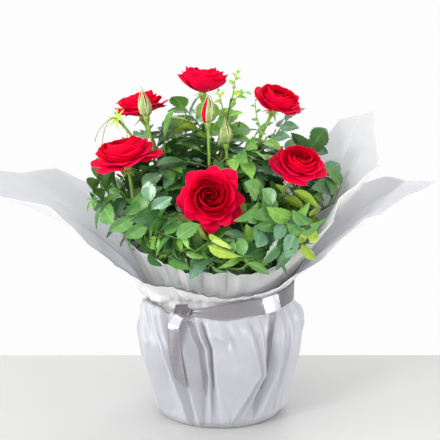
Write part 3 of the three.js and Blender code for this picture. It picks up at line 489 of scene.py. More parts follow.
class Edge:
    """A sheet's free edge: straight from corner to corner seen from above."""

    def __init__(self, corners: list[Corner], headings: int) -> None:
        """Find the edge's place at evenly spaced headings, the nearest ones moved onto the corners.

        Args:
            corners: The corners in order round the axis.
            headings: How many headings to find.
        """
        self.angles = np.arange(headings) * TAU / headings
        for corner in corners:
            k = round(corner.heading / 360 * headings) % headings
            self.angles[k] = math.radians(corner.heading - (360 if k == 0 and corner.heading > 180 else 0))
        found = [self.find(corners, float(a)) for a in self.angles]
        self.reach, self.height, self.bow = (np.array(column) for column in zip(*found))

    @staticmethod
    def find(corners: list[Corner], angle: float) -> tuple[float, float, float]:
        """Reach, height and bow of the edge where a heading crosses it."""
        across = np.array((math.cos(angle), math.sin(angle)))
        for k, one in enumerate(corners):
            two = corners[(k + 1) % len(corners)]
            ends = [np.array((math.cos(math.radians(c.heading)), math.sin(math.radians(c.heading)))) * c.reach for c in (one, two)]
            a, b = (across[0] * p[1] - across[1] * p[0] for p in ends)
            if a <= 1e-7 and b > 1e-7 and ends[0] @ across > 0 and ends[1] @ across > 0:
                t = a / (a - b)
                place = ends[0] + (ends[1] - ends[0]) * t
                return float(np.hypot(*place)), one.height + (two.height - one.height) * t, one.bow + (two.bow - one.bow) * t
        raise ValueError("no edge at this heading")

    def collar(self, neck: Neck, radius: float, shares: np.ndarray) -> tuple[np.ndarray, np.ndarray]:
        """The sheet from the neck to its free edge.

        Args:
            neck: The neck that it rises from.
            radius: The sheet's radius there.
            shares: How far along each row is, from 0 at the neck to 1 at the edge.

        Returns:
            The radius and the height of each row at each heading.
        """
        r0, z0 = radius, neck.middle(radius * np.cos(self.angles)) + neck.half
        dr, dz = self.reach - r0, self.height - z0
        r1 = r0 + 0.5 * dr - dz * 2 * self.bow
        z1 = z0 + 0.5 * dz + dr * 2 * self.bow
        t = shares[:, None]
        s = 1 - t
        return s * s * r0 + 2 * s * t * r1 + t * t * self.reach, s * s * z0 + 2 * s * t * z1 + t * t * self.height


OUTER_CORNERS = [
    Corner(357, 193, 213, 0.05), Corner(17, 160, 208, 0.04), Corner(50, 116, 176, 0), Corner(93, 101, 165, 0),
    Corner(130, 112, 170, 0), Corner(161, 162, 214, 0.05), Corner(182, 234, 221, 0.09), Corner(198, 150, 194, 0.06),
    Corner(212, 108, 151, 0.02), Corner(225, 94, 139, 0), Corner(248, 84, 134, 0), Corner(275, 79, 126, 0),
    Corner(300, 77, 127, 0), Corner(322, 86, 141, 0), Corner(331, 104, 155, 0.02), Corner(340, 133, 187, 0.04),
]
INNER_CORNERS = [
    Corner(358, 141, 228, 0), Corner(14, 146, 271, -0.02), Corner(29, 128, 259, -0.02), Corner(37, 115, 228, 0),
    Corner(52, 99, 190, 0), Corner(93, 88, 174, 0), Corner(140, 92, 178, 0), Corner(165, 100, 188, 0),
    Corner(190, 97, 182, 0), Corner(215, 86, 160, 0), Corner(250, 81, 149, 0), Corner(290, 78, 146, 0),
    Corner(313, 83, 154, 0), Corner(334, 108, 186, 0), Corner(342, 109, 204, 0),
]


FOLD_HEIGHTS = (8, 50, 78, 101)
# The creases that face the viewer, in order from the left.
FRONT_FOLDS = (
    Fold((196, 194, 195, 186), (0.0, 0.5, 0.8, 0.5)), Fold((211, 209, 211, 197), (1.5, 2.5, 2.8, 1.5)),
    Fold((228, 226, 222, 207), (-2.0, -3.5, -2.5, -1.0)), Fold((243, 235, 229, 215), (1.5, 3.0, 3.4, 2.0)),
    Fold((248, 241, 236, 228), (-1.5, -2.5, -2.0, -1.5)), Fold((253, 246, 244, 238), (1.2, 1.6, 1.5, 0.8)),
    Fold((257, 260, 257, 245.5), (-1.0, -4.5, -6.5, -3.5)), Fold((262, 262.6, 260.6, 252), (0.5, -0.8, -1.2, 0.0)),
    Fold((266, 265, 263.8, 256), (-0.5, -4.0, -5.0, -3.0)), Fold((276.5, 267.6, 266.6, 261), (1.6, 1.8, 1.6, 1.5)),
    Fold((278, 284, 280, 274), (0.8, 0.2, -0.8, -1.0)), Fold((279.5, 299, 293, 290), (1.8, 2.4, 2.2, 1.5)),
    Fold((284, 301, 296.5, 294), (-0.4, 0.6, 0.0, -1.0)), Fold((288, 303.4, 300, 300), (0.8, 2.2, 1.6, 1.0)),
    Fold((297, 308, 309, 317), (-3.0, -5.5, -5.5, -3.5)), Fold((304, 316, 316.5, 321), (1.6, 2.4, 2.8, 1.5)),
    Fold((318, 323.5, 326.5, 329), (-1.0, -1.6, -1.6, -1.0)), Fold((322, 326.5, 329.5, 332), (1.2, 1.6, 1.6, 1.0)),
    Fold((334, 336, 338, 338), (-1.2, -1.6, -1.6, -1.0)), Fold((345, 348, 350, 348), (1.0, 1.6, 1.6, 1.0)),
)


def all_folds() -> list[Fold]:
    """The creases that face the viewer, and those of the back, laid out by one rule."""
    folds, dice = list(FRONT_FOLDS), Dice(23)
    heading, side = 357.0, -1
    while heading < 539:
        headings = tuple(heading + dice.span(-2.4, 2.4) for _ in FOLD_HEIGHTS[1:]) + (heading,)
        folds.append(Fold(headings, tuple(side * dice.span(*span) for span in ((0.5, 1.5), (1.2, 3.6), (1.2, 4.0), (0.6, 2.0)))))
        heading += dice.span(5.5, 12.0)
        side = -side
    return folds


@dataclass
class PaperWrap:
    """The two sheets: the outer one stands round the pot and spreads into wings above the ribbon."""

    neck: Neck = field(default_factory=Neck)
    headings: int = 448
    thickness: float = 0.5
    skirt: tuple[tuple[float, float], ...] = ((56, 0.6), (61, 6), (65, 28), (70.5, 54), (73.5, 74), (71.5, 91))
    skirt_top: float = 102.0
    fold_depth: float = 1.5
    # Where the skirt's painted shade goes: faces whose slope falls below turned_away, or deeper than half of
    # deep_pleat, take painted shade; pleats deeper than deep_pleat take painted shadow above a foot that sinks by
    # deep_taper per millimetre of depth, no lower than deep_low.
    deep_pleat: float = -3.6
    deep_low: float = 16.0
    deep_taper: float = 7.0
    turned_away: float = -0.3

    def sheet(self, name: str, grid: np.ndarray, finishes: list[Finish], slot: str, node: str, outside: np.ndarray, inside: np.ndarray) -> None:
        """Give a grid of points round the axis its thickness and make it a piece.

        Args:
            name: The piece's name.
            grid: Its points, row by row from the bottom.
            finishes: What it is made of.
            slot: The record's material slot.
            node: The solid that it stands for.
            outside: The number of each quad's finish on the outside.
            inside: The same on the inside.
        """
        rows, columns = grid.shape[:2]
        up = np.gradient(grid, axis=0)
        round_ = np.roll(grid, -1, 1) - np.roll(grid, 1, 1)
        normal = unit(np.cross(round_, up))
        front, back = grid + normal * self.thickness / 2, grid - normal * self.thickness / 2
        front[..., 2] = np.maximum(front[..., 2], 0.02)
        mesh = JoinedMesh()
        faces = grid_faces(rows, columns, closed=True)
        behind = rows * columns
        top = (rows - 1) * columns + np.arange(columns)
        after = (rows - 1) * columns + (np.arange(columns) + 1) % columns
        rim = np.stack((top, after, after + behind, top + behind), -1)
        quads = np.concatenate((faces, faces[:, ::-1] + behind, rim))
        marks = np.concatenate((outside.ravel(), inside.ravel(), outside[-1]))
        mesh.add(np.concatenate((front.reshape(-1, 3), back.reshape(-1, 3))), quads, marks)
        mesh.make(name, finishes, slot, (node,))

    def folded(self, angles: np.ndarray, levels: np.ndarray) -> tuple[np.ndarray, np.ndarray]:
        """Where the folds lead each column of the skirt on its way down, and how far they push it out.

        Args:
            angles: The heading of each column at the neck.
            levels: The height of each row.

        Returns:
            The heading and the push of each place, row by row.
        """
        folds = all_folds()
        lines = np.array([fold.headings for fold in folds])
        depths = np.array([fold.out for fold in folds])
        columns = (np.degrees(angles) - 180) % 360 + 180
        headings, pushes = [], []
        for level in levels:
            here = [np.interp(level, FOLD_HEIGHTS, line) for line in lines]
            depth = [np.interp(level, FOLD_HEIGHTS, line) for line in depths]
            tops = (lines[-1, -1] - 360, *lines[:, -1], lines[0, -1] + 360)
            headings.append(np.interp(columns, tops, (here[-1] - 360, *here, here[0] + 360)))
            pushes.append(self.fold_depth * np.interp(columns, tops, (depth[-1], *depth, depth[0])))
        return np.radians(np.array(headings)), np.array(pushes)

    def pleat_shade_marks(self, turned: np.ndarray, push: np.ndarray, levels: np.ndarray) -> np.ndarray:
        """Which painted shade each quad of the skirt shows: shade painted where a pleat face turns away from the light,
        and darker shadow painted in a pleat's bottom.

        Args:
            turned: The heading of each place, row by row.
            push: How far the folds push each place out.
            levels: The height of each row.

        Returns:
            0 for the paper's own tone, 1 for painted shade and 2 for painted shadow in a pleat bottom.
        """
        gaps = (np.roll(turned, -1, 1) - turned + math.pi) % TAU - math.pi
        slope = ((np.roll(push, -1, 1) - push) / (np.maximum(gaps, 1e-4) * self.neck.ribbon)).mean(0)
        depth = ((np.roll(push, -1, 1) + push) / 2).mean(0)
        shaded = (slope < self.turned_away) | (depth < self.deep_pleat / 2)
        deep_foot = np.maximum(self.deep_low + self.deep_taper * (depth - 2 * self.deep_pleat), self.deep_low)
        deep = (depth < self.deep_pleat) & (levels[:, None] > deep_foot)
        return np.where(deep, 2, np.where(shaded, 1, 0))[:-1]

    def flap(self, angles: np.ndarray, heights: np.ndarray) -> np.ndarray:
        """A small triangle of paper that stands out under the ribbon at the front, sharp along its lower edge."""
        heading = np.degrees(angles)
        above = heights - (92 - (heading - 266.5) * 0.8)
        ridge = np.exp(-np.where(above > 0, above / 6, -above / 1.8))
        return 2.8 * ridge * smooth(heading, 263, 266.5) * (1 - smooth(heading, 273, 277))

    def make_outer(self) -> None:
        """The outer sheet: underside, skirt round the pot, neck and spreading collar."""
        edge = Edge(OUTER_CORNERS, self.headings)
        angles = edge.angles[None, :]
        cos, sin = np.cos(angles), np.sin(angles)
        low = np.array(self.skirt)
        flat = np.array((0.5, 20.0, 40.0, 50.0, 55.0))
        top = self.neck.middle(self.neck.outer * cos) - self.neck.half
        share = np.linspace(0, 1, 62)[:, None]
        z = 0.7 + (top - 0.7) * share
        line_z = np.append(low[:, 1], self.skirt_top)
        line_r = np.append(low[:, 0], self.neck.outer)
        fine = np.linspace(0, self.skirt_top, 205)
        soft = np.convolve(np.pad(np.interp(fine, line_z, line_r), 12, "edge"), np.hanning(25) / np.hanning(25).sum(), "same")[12:-12]
        soft = np.minimum(soft + 0.6 * smooth(fine, 0, 8), np.interp(fine, line_z, line_r) + 1.0)
        r = np.interp(z * self.skirt_top / top, fine, soft)
        turned, push = self.folded(edge.angles, share[:, 0] * self.skirt_top)
        # Painted shade and painted shadow marks for the skirt's pleats.
        pleat_shade_marks = self.pleat_shade_marks(turned, push, share[:, 0] * self.skirt_top)
        around = spots(r * np.cos(turned), r * np.sin(turned), z)
        gathers = np.abs(((angles * 41 / TAU + 0.35 * np.sin(3 * angles)) % 1) - 0.5) * 2
        push = push * smooth(z, 1, 12) + 2.2 * (gathers - 0.6) * smooth(z, 58, 94)
        push += self.flap(turned, z) + 0.9 * (crumple(around * (1, 1, 0.6), 24, 3.1) - 0.4) + 0.45 * (crumple(around * (1, 1, 0.5), 9, 7.7) - 0.4)
        push = np.minimum(push, 4.4) * (1 - 0.85 * smooth(z, 93, 102)) - 1.0 * smooth(z, 88, 102)
        push = np.maximum(push, -(r - 63.0) * smooth(z, 60, 100) - 7.0 * (1 - smooth(z, 60, 100)) * smooth(z, 2, 30) - 0.8)
        r = r + push
        neck_r = r[-1:] * 1.0
        degrees = np.degrees(angles)
        cover = smooth(degrees, 168, 196) * (1 - smooth(degrees, 219, 233))
        r = r + 5.2 * cover * np.exp(-(((z - top + 1.5) / 6) ** 2))
        z = z + 12.0 * cover * smooth(z, 84, 102)
        skirt = spots(r * np.cos(turned), r * np.sin(turned), z)
        under = np.stack([spots(f * np.cos(turned[0]), f * np.sin(turned[0]), 0.3) for f in flat])
        middle = self.neck.middle(self.neck.outer * cos)
        band = np.concatenate([spots(neck_r * cos, neck_r * sin, middle + rise) for rise in (-5, 0, 5)])
        shares = np.concatenate((np.linspace(0, 0.84, 32), np.linspace(0.86, 1, 9)))
        cr, cz = edge.collar(self.neck, self.neck.outer, shares)
        collar = spots(cr * cos, cr * sin, cz)
        start = (neck_r - self.neck.outer) * (1 - smooth(shares, 0, 0.35))[:, None]
        start = start + 4.5 * cover * np.exp(-(((shares - 0.05) / 0.07) ** 2))[:, None]
        collar[..., 2] -= 4.5 * cover * (1 - smooth(shares, 0, 0.22))[:, None]
        collar[..., 0] += start * cos
        collar[..., 1] += start * sin
        collar = self.spread(collar, shares, angles, OUTER_RAYS, gathers[-1:], 41.0)
        front = np.exp(-(((np.degrees(angles) - 252) / 34) ** 2))
        scallop = np.abs(np.sin(angles * 28)) * front
        lip = smooth(shares, 0.72, 1.0)[:, None]
        collar[..., 2] += lip * (1.6 * scallop - 1.2 * front + 1.5 * grain(collar, 7, 2.0) * front)
        collar[..., 0] += lip * cos * 1.6 * front * grain(collar, 6, 8.0)
        collar[..., 1] += lip * sin * 1.6 * front * grain(collar, 6, 8.0)
        grid = np.concatenate((under, skirt, band, collar))
        length = np.hypot(edge.reach - self.neck.outer, edge.height - self.neck.height - self.neck.half)
        inwards = (1 - (shares[1:] + shares[:-1]) / 2)[:, None] * length
        # Painted shadow along the front of the collar's scalloped lip, on both faces and its rim.
        painted_edge_shadow = np.zeros((len(grid) - 1, self.headings), bool)
        painted_edge_shadow[-len(inwards):] = (inwards < 1.8 + 3.0 * scallop * (0.5 + 0.5 * np.sin(angles * 9))) & (front > 0.25)
        finishes = [SKIRT_PAPER, SKIRT_PAINTED_SHADE, SKIRT_PAINTED_PLEAT_SHADOW, COLLAR_PAINTED_LIGHT, COLLAR_LINING, PAPER_EDGE_PAINTED_SHADOW]
        collar_light_mark, lining_mark, edge_shadow_mark = 3, 4, 5
        outside = np.full(painted_edge_shadow.shape, collar_light_mark)
        outside[: len(under)] = 0
        outside[len(under) : len(under) + len(pleat_shade_marks)] = pleat_shade_marks
        outside[painted_edge_shadow] = edge_shadow_mark
        inside = np.where(painted_edge_shadow, edge_shadow_mark, lining_mark)
        self.sheet("outer_wrapping_paper", grid, finishes, "outer_paper", "wrap_outer", outside, inside)

    def spread(self, collar: np.ndarray, shares: np.ndarray, angles: np.ndarray, rays: tuple[Ray, ...], gathers: np.ndarray, seed: float) -> np.ndarray:
        """Press folds and creases into a collar along its own normal.

        Args:
            collar: Its points, row by row from the neck.
            shares: How far along each row is.
            angles: The heading of each column.
            rays: Its long folds.
            gathers: The gathers at the neck, from 0 to 1.
            seed: Which of the possible crumples it has.

        Returns:
            The collar with its relief.
        """
        up = np.gradient(collar, axis=0)
        round_ = np.roll(collar, -1, 1) - np.roll(collar, 1, 1)
        normal = unit(np.cross(round_, up))
        t = shares[:, None]
        lift = 1.4 * (gathers - 0.5) * (1 - smooth(t, 0.0, 0.45)) * smooth(t, 0, 0.06)
        for ray in rays:
            gap = np.degrees((angles - math.radians(ray.heading) + math.pi) % TAU - math.pi)
            lift = lift + ray.depth * np.exp(-np.abs(gap) / ray.width) * smooth(t, 0.02, 0.5)
        lift += 1.7 * (crumple(collar * (1, 1, 0.7), 40, seed) - 0.4) * smooth(t, 0.05, 0.5)
        lift += 0.5 * grain(collar, 18, seed) * smooth(t, 0.1, 0.6)
        return collar + normal * lift[..., None]

    def make_inner(self) -> None:
        """The inner sheet: its tucked foot in the neck and its taller, steeper collar."""
        edge = Edge(INNER_CORNERS, self.headings)
        angles = edge.angles[None, :]
        cos, sin = np.cos(angles), np.sin(angles)
        radius = self.neck.inner
        middle = self.neck.middle(radius * cos)
        foot = np.concatenate([spots(radius * cos, radius * sin, middle + rise) for rise in (-14, -7, 0, 5)])
        shares = np.linspace(0, 1, 44)
        cr, cz = edge.collar(self.neck, radius, shares)
        collar = spots(cr * cos, cr * sin, cz)
        warp = angles + 0.03 * np.sin(5 * angles + 1)
        gathers = np.abs(((warp * 33 / TAU) % 1) - 0.5) * 2
        collar = self.spread(collar, shares, angles, INNER_RAYS, gathers, 17.0)
        outside = np.zeros((len(foot) + len(collar) - 1, self.headings), int)
        # Its outside takes the painted light, its inside the painted shade.
        self.sheet("inner_wrapping_paper", np.concatenate((foot, collar)), [INNER_PAINTED_LIGHT, INNER_PAINTED_SHADE], "inner_paper", "wrap_inner", outside, outside + 1)


OUTER_RAYS = (
    Ray(170, 3.0, 4.0), Ray(177, 2.0, -3.0), Ray(188, 3.0, 4.5), Ray(196, 2.5, -3.0), Ray(205, 3.0, 2.0),
    Ray(150, 4.0, 3.0), Ray(132, 3.0, -2.0), Ray(110, 4.0, 2.5), Ray(84, 4.0, -2.0), Ray(60, 4.0, 2.5), Ray(36, 3.0, -2.5),
    Ray(24, 3.0, 3.0), Ray(8, 2.5, 3.5), Ray(352, 2.5, -3.0), Ray(345, 2.5, 3.0), Ray(336, 3.0, -2.0),
    Ray(230, 3.0, 1.5), Ray(241, 2.5, -1.5), Ray(262, 3.0, 1.5), Ray(285, 3.0, -1.2), Ray(310, 3.0, 1.6),
)
INNER_RAYS = (
    Ray(20, 2.5, 3.0), Ray(8, 2.5, -2.5), Ray(350, 2.5, 2.0), Ray(330, 3.0, 1.6), Ray(318, 2.5, -1.6), Ray(300, 3.0, 1.4),
    Ray(281, 1.6, 3.4), Ray(275, 1.6, -4.6), Ray(266, 1.6, 2.8), Ray(258, 1.5, -2.4), Ray(249, 1.8, 2.6), Ray(241, 1.5, -2.6), Ray(233, 2.0, 2.4), Ray(222, 2.0, -2.2),
    Ray(205, 3.0, 1.6), Ray(182, 3.0, -1.6), Ray(160, 3.0, 1.6), Ray(120, 4.0, -1.6), Ray(96, 4.0, 1.6), Ray(68, 3.0, -1.6), Ray(42, 3.0, 1.8),
)


@dataclass
class Ribbon:
    """The satin ribbon: a band round the neck, a knot at the front left and one hanging tail."""

    wrap: PaperWrap
    width: float = 15.0
    thickness: float = 0.6
    knot_heading: float = 242.0
    tail_top: float = 101.0
    tail_length: float = 55.0
    tail_slant: float = 8.5
    # The hanging end at falling heights: height, distance of its middle from the axis, heading and width.
    hang: tuple[tuple[float, float, float, float], ...] = (
        (6, 65.0, 245, 11.5), (30, 70.4, 243.6, 11.5), (54, 75.2, 241.9, 11.3), (74, 77.8, 240.2, 11.8), (88, 78.4, 239.2, 12.0),
        (95, 78.2, 238.8, 11.8), (99, 76.6, 238.4, 11.6), (104, 72.4, 238.9, 11.2), (108, 71.0, 240.6, 11.2), (118, 74.6, 244.0, 11.2),
    )

    def strip(self, mesh: JoinedMesh, rows: np.ndarray, thickness: float, finish: int | np.ndarray = 0) -> None:
        """Add a band of cloth, with its rows running along it, as a thin closed slab."""
        count, across = rows.shape[:2]
        normal = unit(np.cross(np.gradient(rows, axis=1), np.gradient(rows, axis=0)))
        both = np.concatenate(((rows + normal * thickness / 2).reshape(-1, 3), (rows - normal * thickness / 2).reshape(-1, 3)))
        faces = grid_faces(count, across)
        behind = count * across
        ring = np.concatenate((np.arange(across), np.arange(1, count) * across + across - 1, (count - 1) * across + np.arange(across - 2, -1, -1), np.arange(count - 2, 0, -1) * across))
        after = np.roll(ring, -1)
        rim = np.stack((after, ring, ring + behind, after + behind), -1)
        marks = np.broadcast_to(finish, (count, across))
        face_marks = marks[:-1, :-1].ravel()
        mesh.add(both, np.concatenate((faces[:, ::-1], faces + behind, rim)), np.concatenate((face_marks, face_marks, marks.ravel()[ring])))

    def on_neck(self, angle: np.ndarray, rise: np.ndarray, radius: np.ndarray) -> np.ndarray:
        """A place on the ribbon's round at a heading, a height above its middle and a distance out."""
        x = radius * np.cos(angle)
        return spots(x, radius * np.sin(angle), self.wrap.neck.middle(x) + rise)

    def make_band(self) -> None:
        """The band, narrow where the knot pinches it."""
        knot = math.radians(self.knot_heading)
        turn = np.linspace(0.06, TAU - 0.06, 300)[:, None]
        angle = knot + turn
        side = np.linspace(-1, 1, 13)[None, :]
        right = smooth(turn, -0.05, 0.60)
        left = smooth(TAU - turn, 0.5, 1.6)
        half = self.width / 2 * (0.14 + 0.86 * right) * (0.22 + 0.78 * left)
        flat = spots(60 * np.cos(angle), 60 * np.sin(angle), side * 9)
        pleats = 0.35 * np.sin(side * 5 + 1.2 * np.sin(angle * 3)) * (1 - 0.6 * right * left)
        radius = self.wrap.neck.ribbon + 0.25 * grain(flat, 9, 4.0) + pleats * (1 - 0.8 * smooth(turn, 0.2, 0.6) * smooth(TAU - turn, 0.2, 0.6))
        drop = -0.6 * (1 - right) + 0.4 * np.sin(angle * 9) + 0 * side
        tip = 1.3 * smooth(turn, 1.04, 1.10) * (1 - smooth(turn, 1.33, 1.37)) - 0.9 * smooth(turn, 0.2, 0.5) * (1 - smooth(turn, 0.95, 1.06))
        lean = turn + 0.03 * side
        # Painted highlight on the band just right of the knot, then painted shade on the stretch after it.
        marks = np.where((lean > 1.08) & (lean < 1.36), 1, np.where((lean >= 1.36) & (lean < 2.1), 2, 0))
        rows = self.on_neck(angle + 0 * side, side * half + drop, radius - tip * side)
        mesh = JoinedMesh()
        self.strip(mesh, rows, self.thickness, marks)
        mesh.make("satin_ribbon_band", SATINS, "ribbon", ("ribbon_band",))

    def hanging(self, heights: np.ndarray, side: np.ndarray, ripple: np.ndarray) -> np.ndarray:
        """Places on the hanging end at given heights, with side running across it from -0.5 to 0.5."""
        line = np.array(self.hang)
        radius, heading, width = (np.interp(heights, line[:, 0], line[:, k]) for k in (1, 2, 3))
        angle = np.radians(heading) + side * width / radius
        return spots((radius + ripple) * np.cos(angle), (radius + ripple) * np.sin(angle), heights + 0 * side)

    def make_knot(self) -> None:
        """The knot: a small pinched turn round the crossing, and the end that comes over it and falls."""
        mesh = JoinedMesh()
        heading = math.radians(self.knot_heading + 4.5)
        middle = self.on_neck(np.array(heading), np.array(0.0), np.array(self.wrap.neck.outer + 3.4))
        out = direction((math.cos(heading), math.sin(heading), 0))
        side = np.cross(UP, out)
        rise = unit(UP * 0.95 + side * 0.25)
        over = np.cross(rise, out)
        v = np.linspace(-0.2, TAU + 0.1, 34)[:, None]
        u = np.linspace(-1, 1, 11)[None, :]
        pinch = 1.9 * (1 - 0.25 * (1 - u * u)) + 0.15 * np.sin(u * 8 + v)
        band = (
            middle
            + out * (np.cos(v) * (pinch + 0.02 * v))[..., None]
            + rise * (np.sin(v) * (pinch + 2.6))[..., None]
            + over * (u * 1.7 * (1 + 0.2 * np.cos(v)) + 0.3 * np.sin(v))[..., None]
        )
        self.strip(mesh, band, 0.5)
        t = np.linspace(0, 1, 24)[:, None]
        side = np.linspace(-0.5, 0.5, 11)[None, :]
        z = 118.0 + (self.tail_top - 0.6 - 118.0) * t
        # The falling end's upper part takes painted shade, its bend below a painted highlight.
        self.strip(mesh, self.hanging(z + 2.0 * side * (1 - t), side, 0.5 * np.sin(side * 7) * t * (1 - t) * 4 - 0.8 * side * (1 - t)), self.thickness, np.where(z + 3 * side > 106.5, 2, 1))
        mesh.make("satin_ribbon_knot", SATINS, "ribbon", ("ribbon_knot",))

    def make_tail(self) -> None:
        """The hanging tail, with soft ripples and a slanted cut end."""
        t = np.linspace(0, 1, 60)[:, None]
        side = np.linspace(-0.5, 0.5, 11)[None, :]
        z = self.tail_top - self.tail_length * t - side * self.tail_slant * t**5
        ripple = 0.7 * np.sin(side * 6 + t * 6) * np.sin(math.pi * t) + 0.8 * side * np.cos(t * 7) * smooth(t, 0, 0.2)
        mesh = JoinedMesh()
        # Painted highlight on the tail's top, where it bends out under the knot.
        self.strip(mesh, self.hanging(z, side, ripple), self.thickness, np.where(z - 2 * side > 96.5, 1, 0))
        mesh.make("satin_ribbon_tail", SATINS, "ribbon", ("ribbon_tail",))

    def make(self) -> None:
        """Band, knot and tail."""
        self.make_band()
        self.make_knot()
        self.make_tail()


# ---------------------------------------------------------------- pot and soil


@dataclass
class Pot:
    """The nursery pot inside the wrapping, filled with soil."""

    top: float = 62.0
    base: float = 45.0
    height: float = 112.0
    wall: float = 1.8
    rim: float = 3.0
    rim_height: float = 10.0
    soil: float = 101.0
    sides: int = 96

    def lathe(self, profile: list[tuple[float, float]], ribs: float = 0.0) -> tuple[np.ndarray, np.ndarray]:
        """A profile of (radius, height) turned round the axis, with shallow upright ribs."""
        angles = np.arange(self.sides) * TAU / self.sides
        r, z = (np.array(column)[:, None] for column in zip(*profile))
        r = r + ribs * np.cos(angles * 24) * smooth(r, 30, 44) * (1 - smooth(z, 92, 98)) * smooth(z, 6, 12)
        return spots(r * np.cos(angles), r * np.sin(angles), z), grid_faces(len(profile), self.sides, closed=True)

    def make(self) -> None:
        """The pot with its rolled rim, and the crumbly soil in it."""
        neck, low, brim = self.top - self.rim, 1.5, self.height - self.rim_height
        outside = [(0.3, low), (20, low), (self.base - 4, low), (self.base, low + 0.8), (self.base + 0.4, low + 5)]
        outside += [(self.base + (neck - self.base) * k / 12, low + (brim - low) * k / 12) for k in range(1, 13)]
        lip = [(self.top - 0.4, brim), (self.top, brim + 0.6), (self.top, self.height - 1), (self.top - 0.6, self.height), (neck - self.wall + 0.8, self.height)]
        inside = [(neck - self.wall, self.height - 0.8), (neck - self.wall, brim)]
        inside += [(self.base - self.wall + (neck - self.base) * k / 8, low + 2.5 + (brim - low - 2.5) * k / 8) for k in range(7, -1, -1)]
        mesh = JoinedMesh()
        mesh.add(*self.lathe(outside + lip + inside + [(0.3, low + 2.5)], ribs=0.35))
        mesh.make("nursery_pot", [POT_PLASTIC], "pot", ("pot",))
        mesh = JoinedMesh()
        full = neck - self.wall - 0.8
        rings = [(0.3, self.soil)] + [(full * k / 26, self.soil) for k in range(1, 27)] + [(full - 0.3, self.soil - 6), (full - 6, self.soil - 40), (self.base - self.wall - 1.5, 6.0), (0.3, 6.0)]
        points, faces = self.lathe(rings)
        level = smooth(points[..., 2], self.soil - 1, self.soil)
        reach = np.hypot(points[..., 0], points[..., 1])
        lumps = 1.6 * crumple(points, 7, 2.0) + 1.1 * grain(points, 3.2, 1.0) + 1.2 * grain(points, 14, 6.0)
        points[..., 2] += level * (lumps - 1.6 - 1.2 * smooth(reach, full - 8, full))
        mesh.add(points, faces[:, ::-1])
        dice = Dice(77)
        for _ in range(260):
            angle, out = dice.span(0, TAU), full * math.sqrt(dice.roll()) * 0.97
            size = dice.span(0.5, 1.5)
            line = np.array([(out * math.cos(angle), out * math.sin(angle), self.soil - 0.4 + k * size * 0.5) for k in range(3)])
            mesh.add(*tube(line, np.array((0.7, 1.0, 0.6)) * size, 5), 1)
        mesh.make("potting_soil_crumbs", [SOIL, SOIL_CRUMB], "soil", ("potting_soil",))


# ---------------------------------------------------------------- the plant's frame


@dataclass(frozen=True)
class Mass:
    """One mass of foliage: its foot, and the tip and heading of each shoot."""

    name: str
    foot: Point
    shoots: tuple[tuple[Point, Point], ...]


@dataclass(frozen=True)
class Flower:
    """An open flower on a mass's shoot: its middle, the way it faces, its radius and how far it is closed."""

    name: str
    mass: str
    shoot: int
    centre: Point
    facing: Point
    radius: float
    cup: float


@dataclass(frozen=True)
class Bud:
    """A closed bud on a mass's shoot, with how much red shows between its sepals."""

    name: str
    mass: str
    shoot: int
    base: Point
    facing: Point
    length: float
    radius: float
    open_side: float
    red: float


MASSES = (
    Mass("left", (-40, -4, 148), (((-74, -30, 194), (-0.2, -0.1, 1)), ((-58, 26, 236), (-0.25, 0.15, 1)), ((-59, 2, 236), (-0.1, 0, 1)), ((-98, -6, 200), (-0.6, 0, 0.7)), ((-84, -24, 172), (-0.9, -0.2, 0.2)))),
    Mass("front_left", (-20, -33, 138), (((-3, -40, 184), (0.1, -0.1, 1)), ((-64, -48, 158), (-0.8, -0.3, 0.2)), ((-38, -56, 190), (-0.2, -0.4, 0.8)), ((-16, -66, 162), (0, -0.8, 0.3)), ((-56, -58, 182), (-0.5, -0.4, 0.6)))),
    Mass("front_right", (24, -33, 138), (((36, -52, 192), (0.2, -0.4, 0.8)), ((64, -46, 160), (0.8, -0.3, 0.2)), ((24, -66, 162), (0.1, -0.8, 0.2)), ((58, -56, 184), (0.5, -0.4, 0.6)))),
    Mass("right", (41, -4, 148), (((50, -17, 198), (0.45, -0.1, 0.9)), ((102, -10, 196), (0.7, -0.1, 0.5)), ((86, 12, 222), (0.5, 0.1, 0.7)), ((76, -28, 168), (0.8, -0.3, 0.3)))),
    Mass("back_right", (22, 34, 148), (((34, 14, 244), (0.35, -0.1, 1)), ((64, 48, 200), (0.6, 0.5, 0.5)), ((20, 66, 190), (0.1, 0.8, 0.4)))),
    Mass("back_left", (-22, 34, 148), (((-32, 34, 250), (-0.1, 0, 1)), ((-66, 46, 204), (-0.6, 0.5, 0.5)), ((-22, 66, 196), (-0.1, 0.8, 0.4)))),
    Mass("top", (-2, 2, 160), (((-13, 12, 262), (-0.05, 0, 1)), ((-9.5, -19, 230), (0, 0, 1)), ((6.5, -8, 228), (0, 0, 1)), ((10, 6, 286), (0.15, 0, 1)), ((18, 26, 262), (0.3, 0.3, 1)))),
)
# Finer shoots that the foliage adds between the masses' own, forked by the same rule.
FINER = {
    "front_left": (((-22, -52, 182), (-0.2, -0.4, 0.8)), ((2, -58, 172), (0.2, -0.8, 0.3))),
    "front_right": (((20, -54, 182), (0.1, -0.4, 0.8)), ((8, -50, 160), (-0.2, -0.8, 0.1))),
    "left": (((-76, -40, 160), (-0.8, -0.5, 0)), ((-90, 16, 212), (-0.7, 0.3, 0.5))),
    "right": (((74, -36, 176), (0.8, -0.5, 0.1)), ((90, 22, 200), (0.8, 0.3, 0.4))),
    "back_right": (((44, 62, 180), (0.4, 0.8, 0.2)), ((50, 30, 226), (0.4, 0.2, 0.8))),
    "back_left": (((-46, 62, 184), (-0.4, 0.8, 0.2)), ((-50, 34, 226), (-0.4, 0.2, 0.8))),
    "top": (((-24, -22, 224), (-0.4, -0.3, 0.8)), ((24, -18, 222), (0.4, -0.3, 0.8))),
}
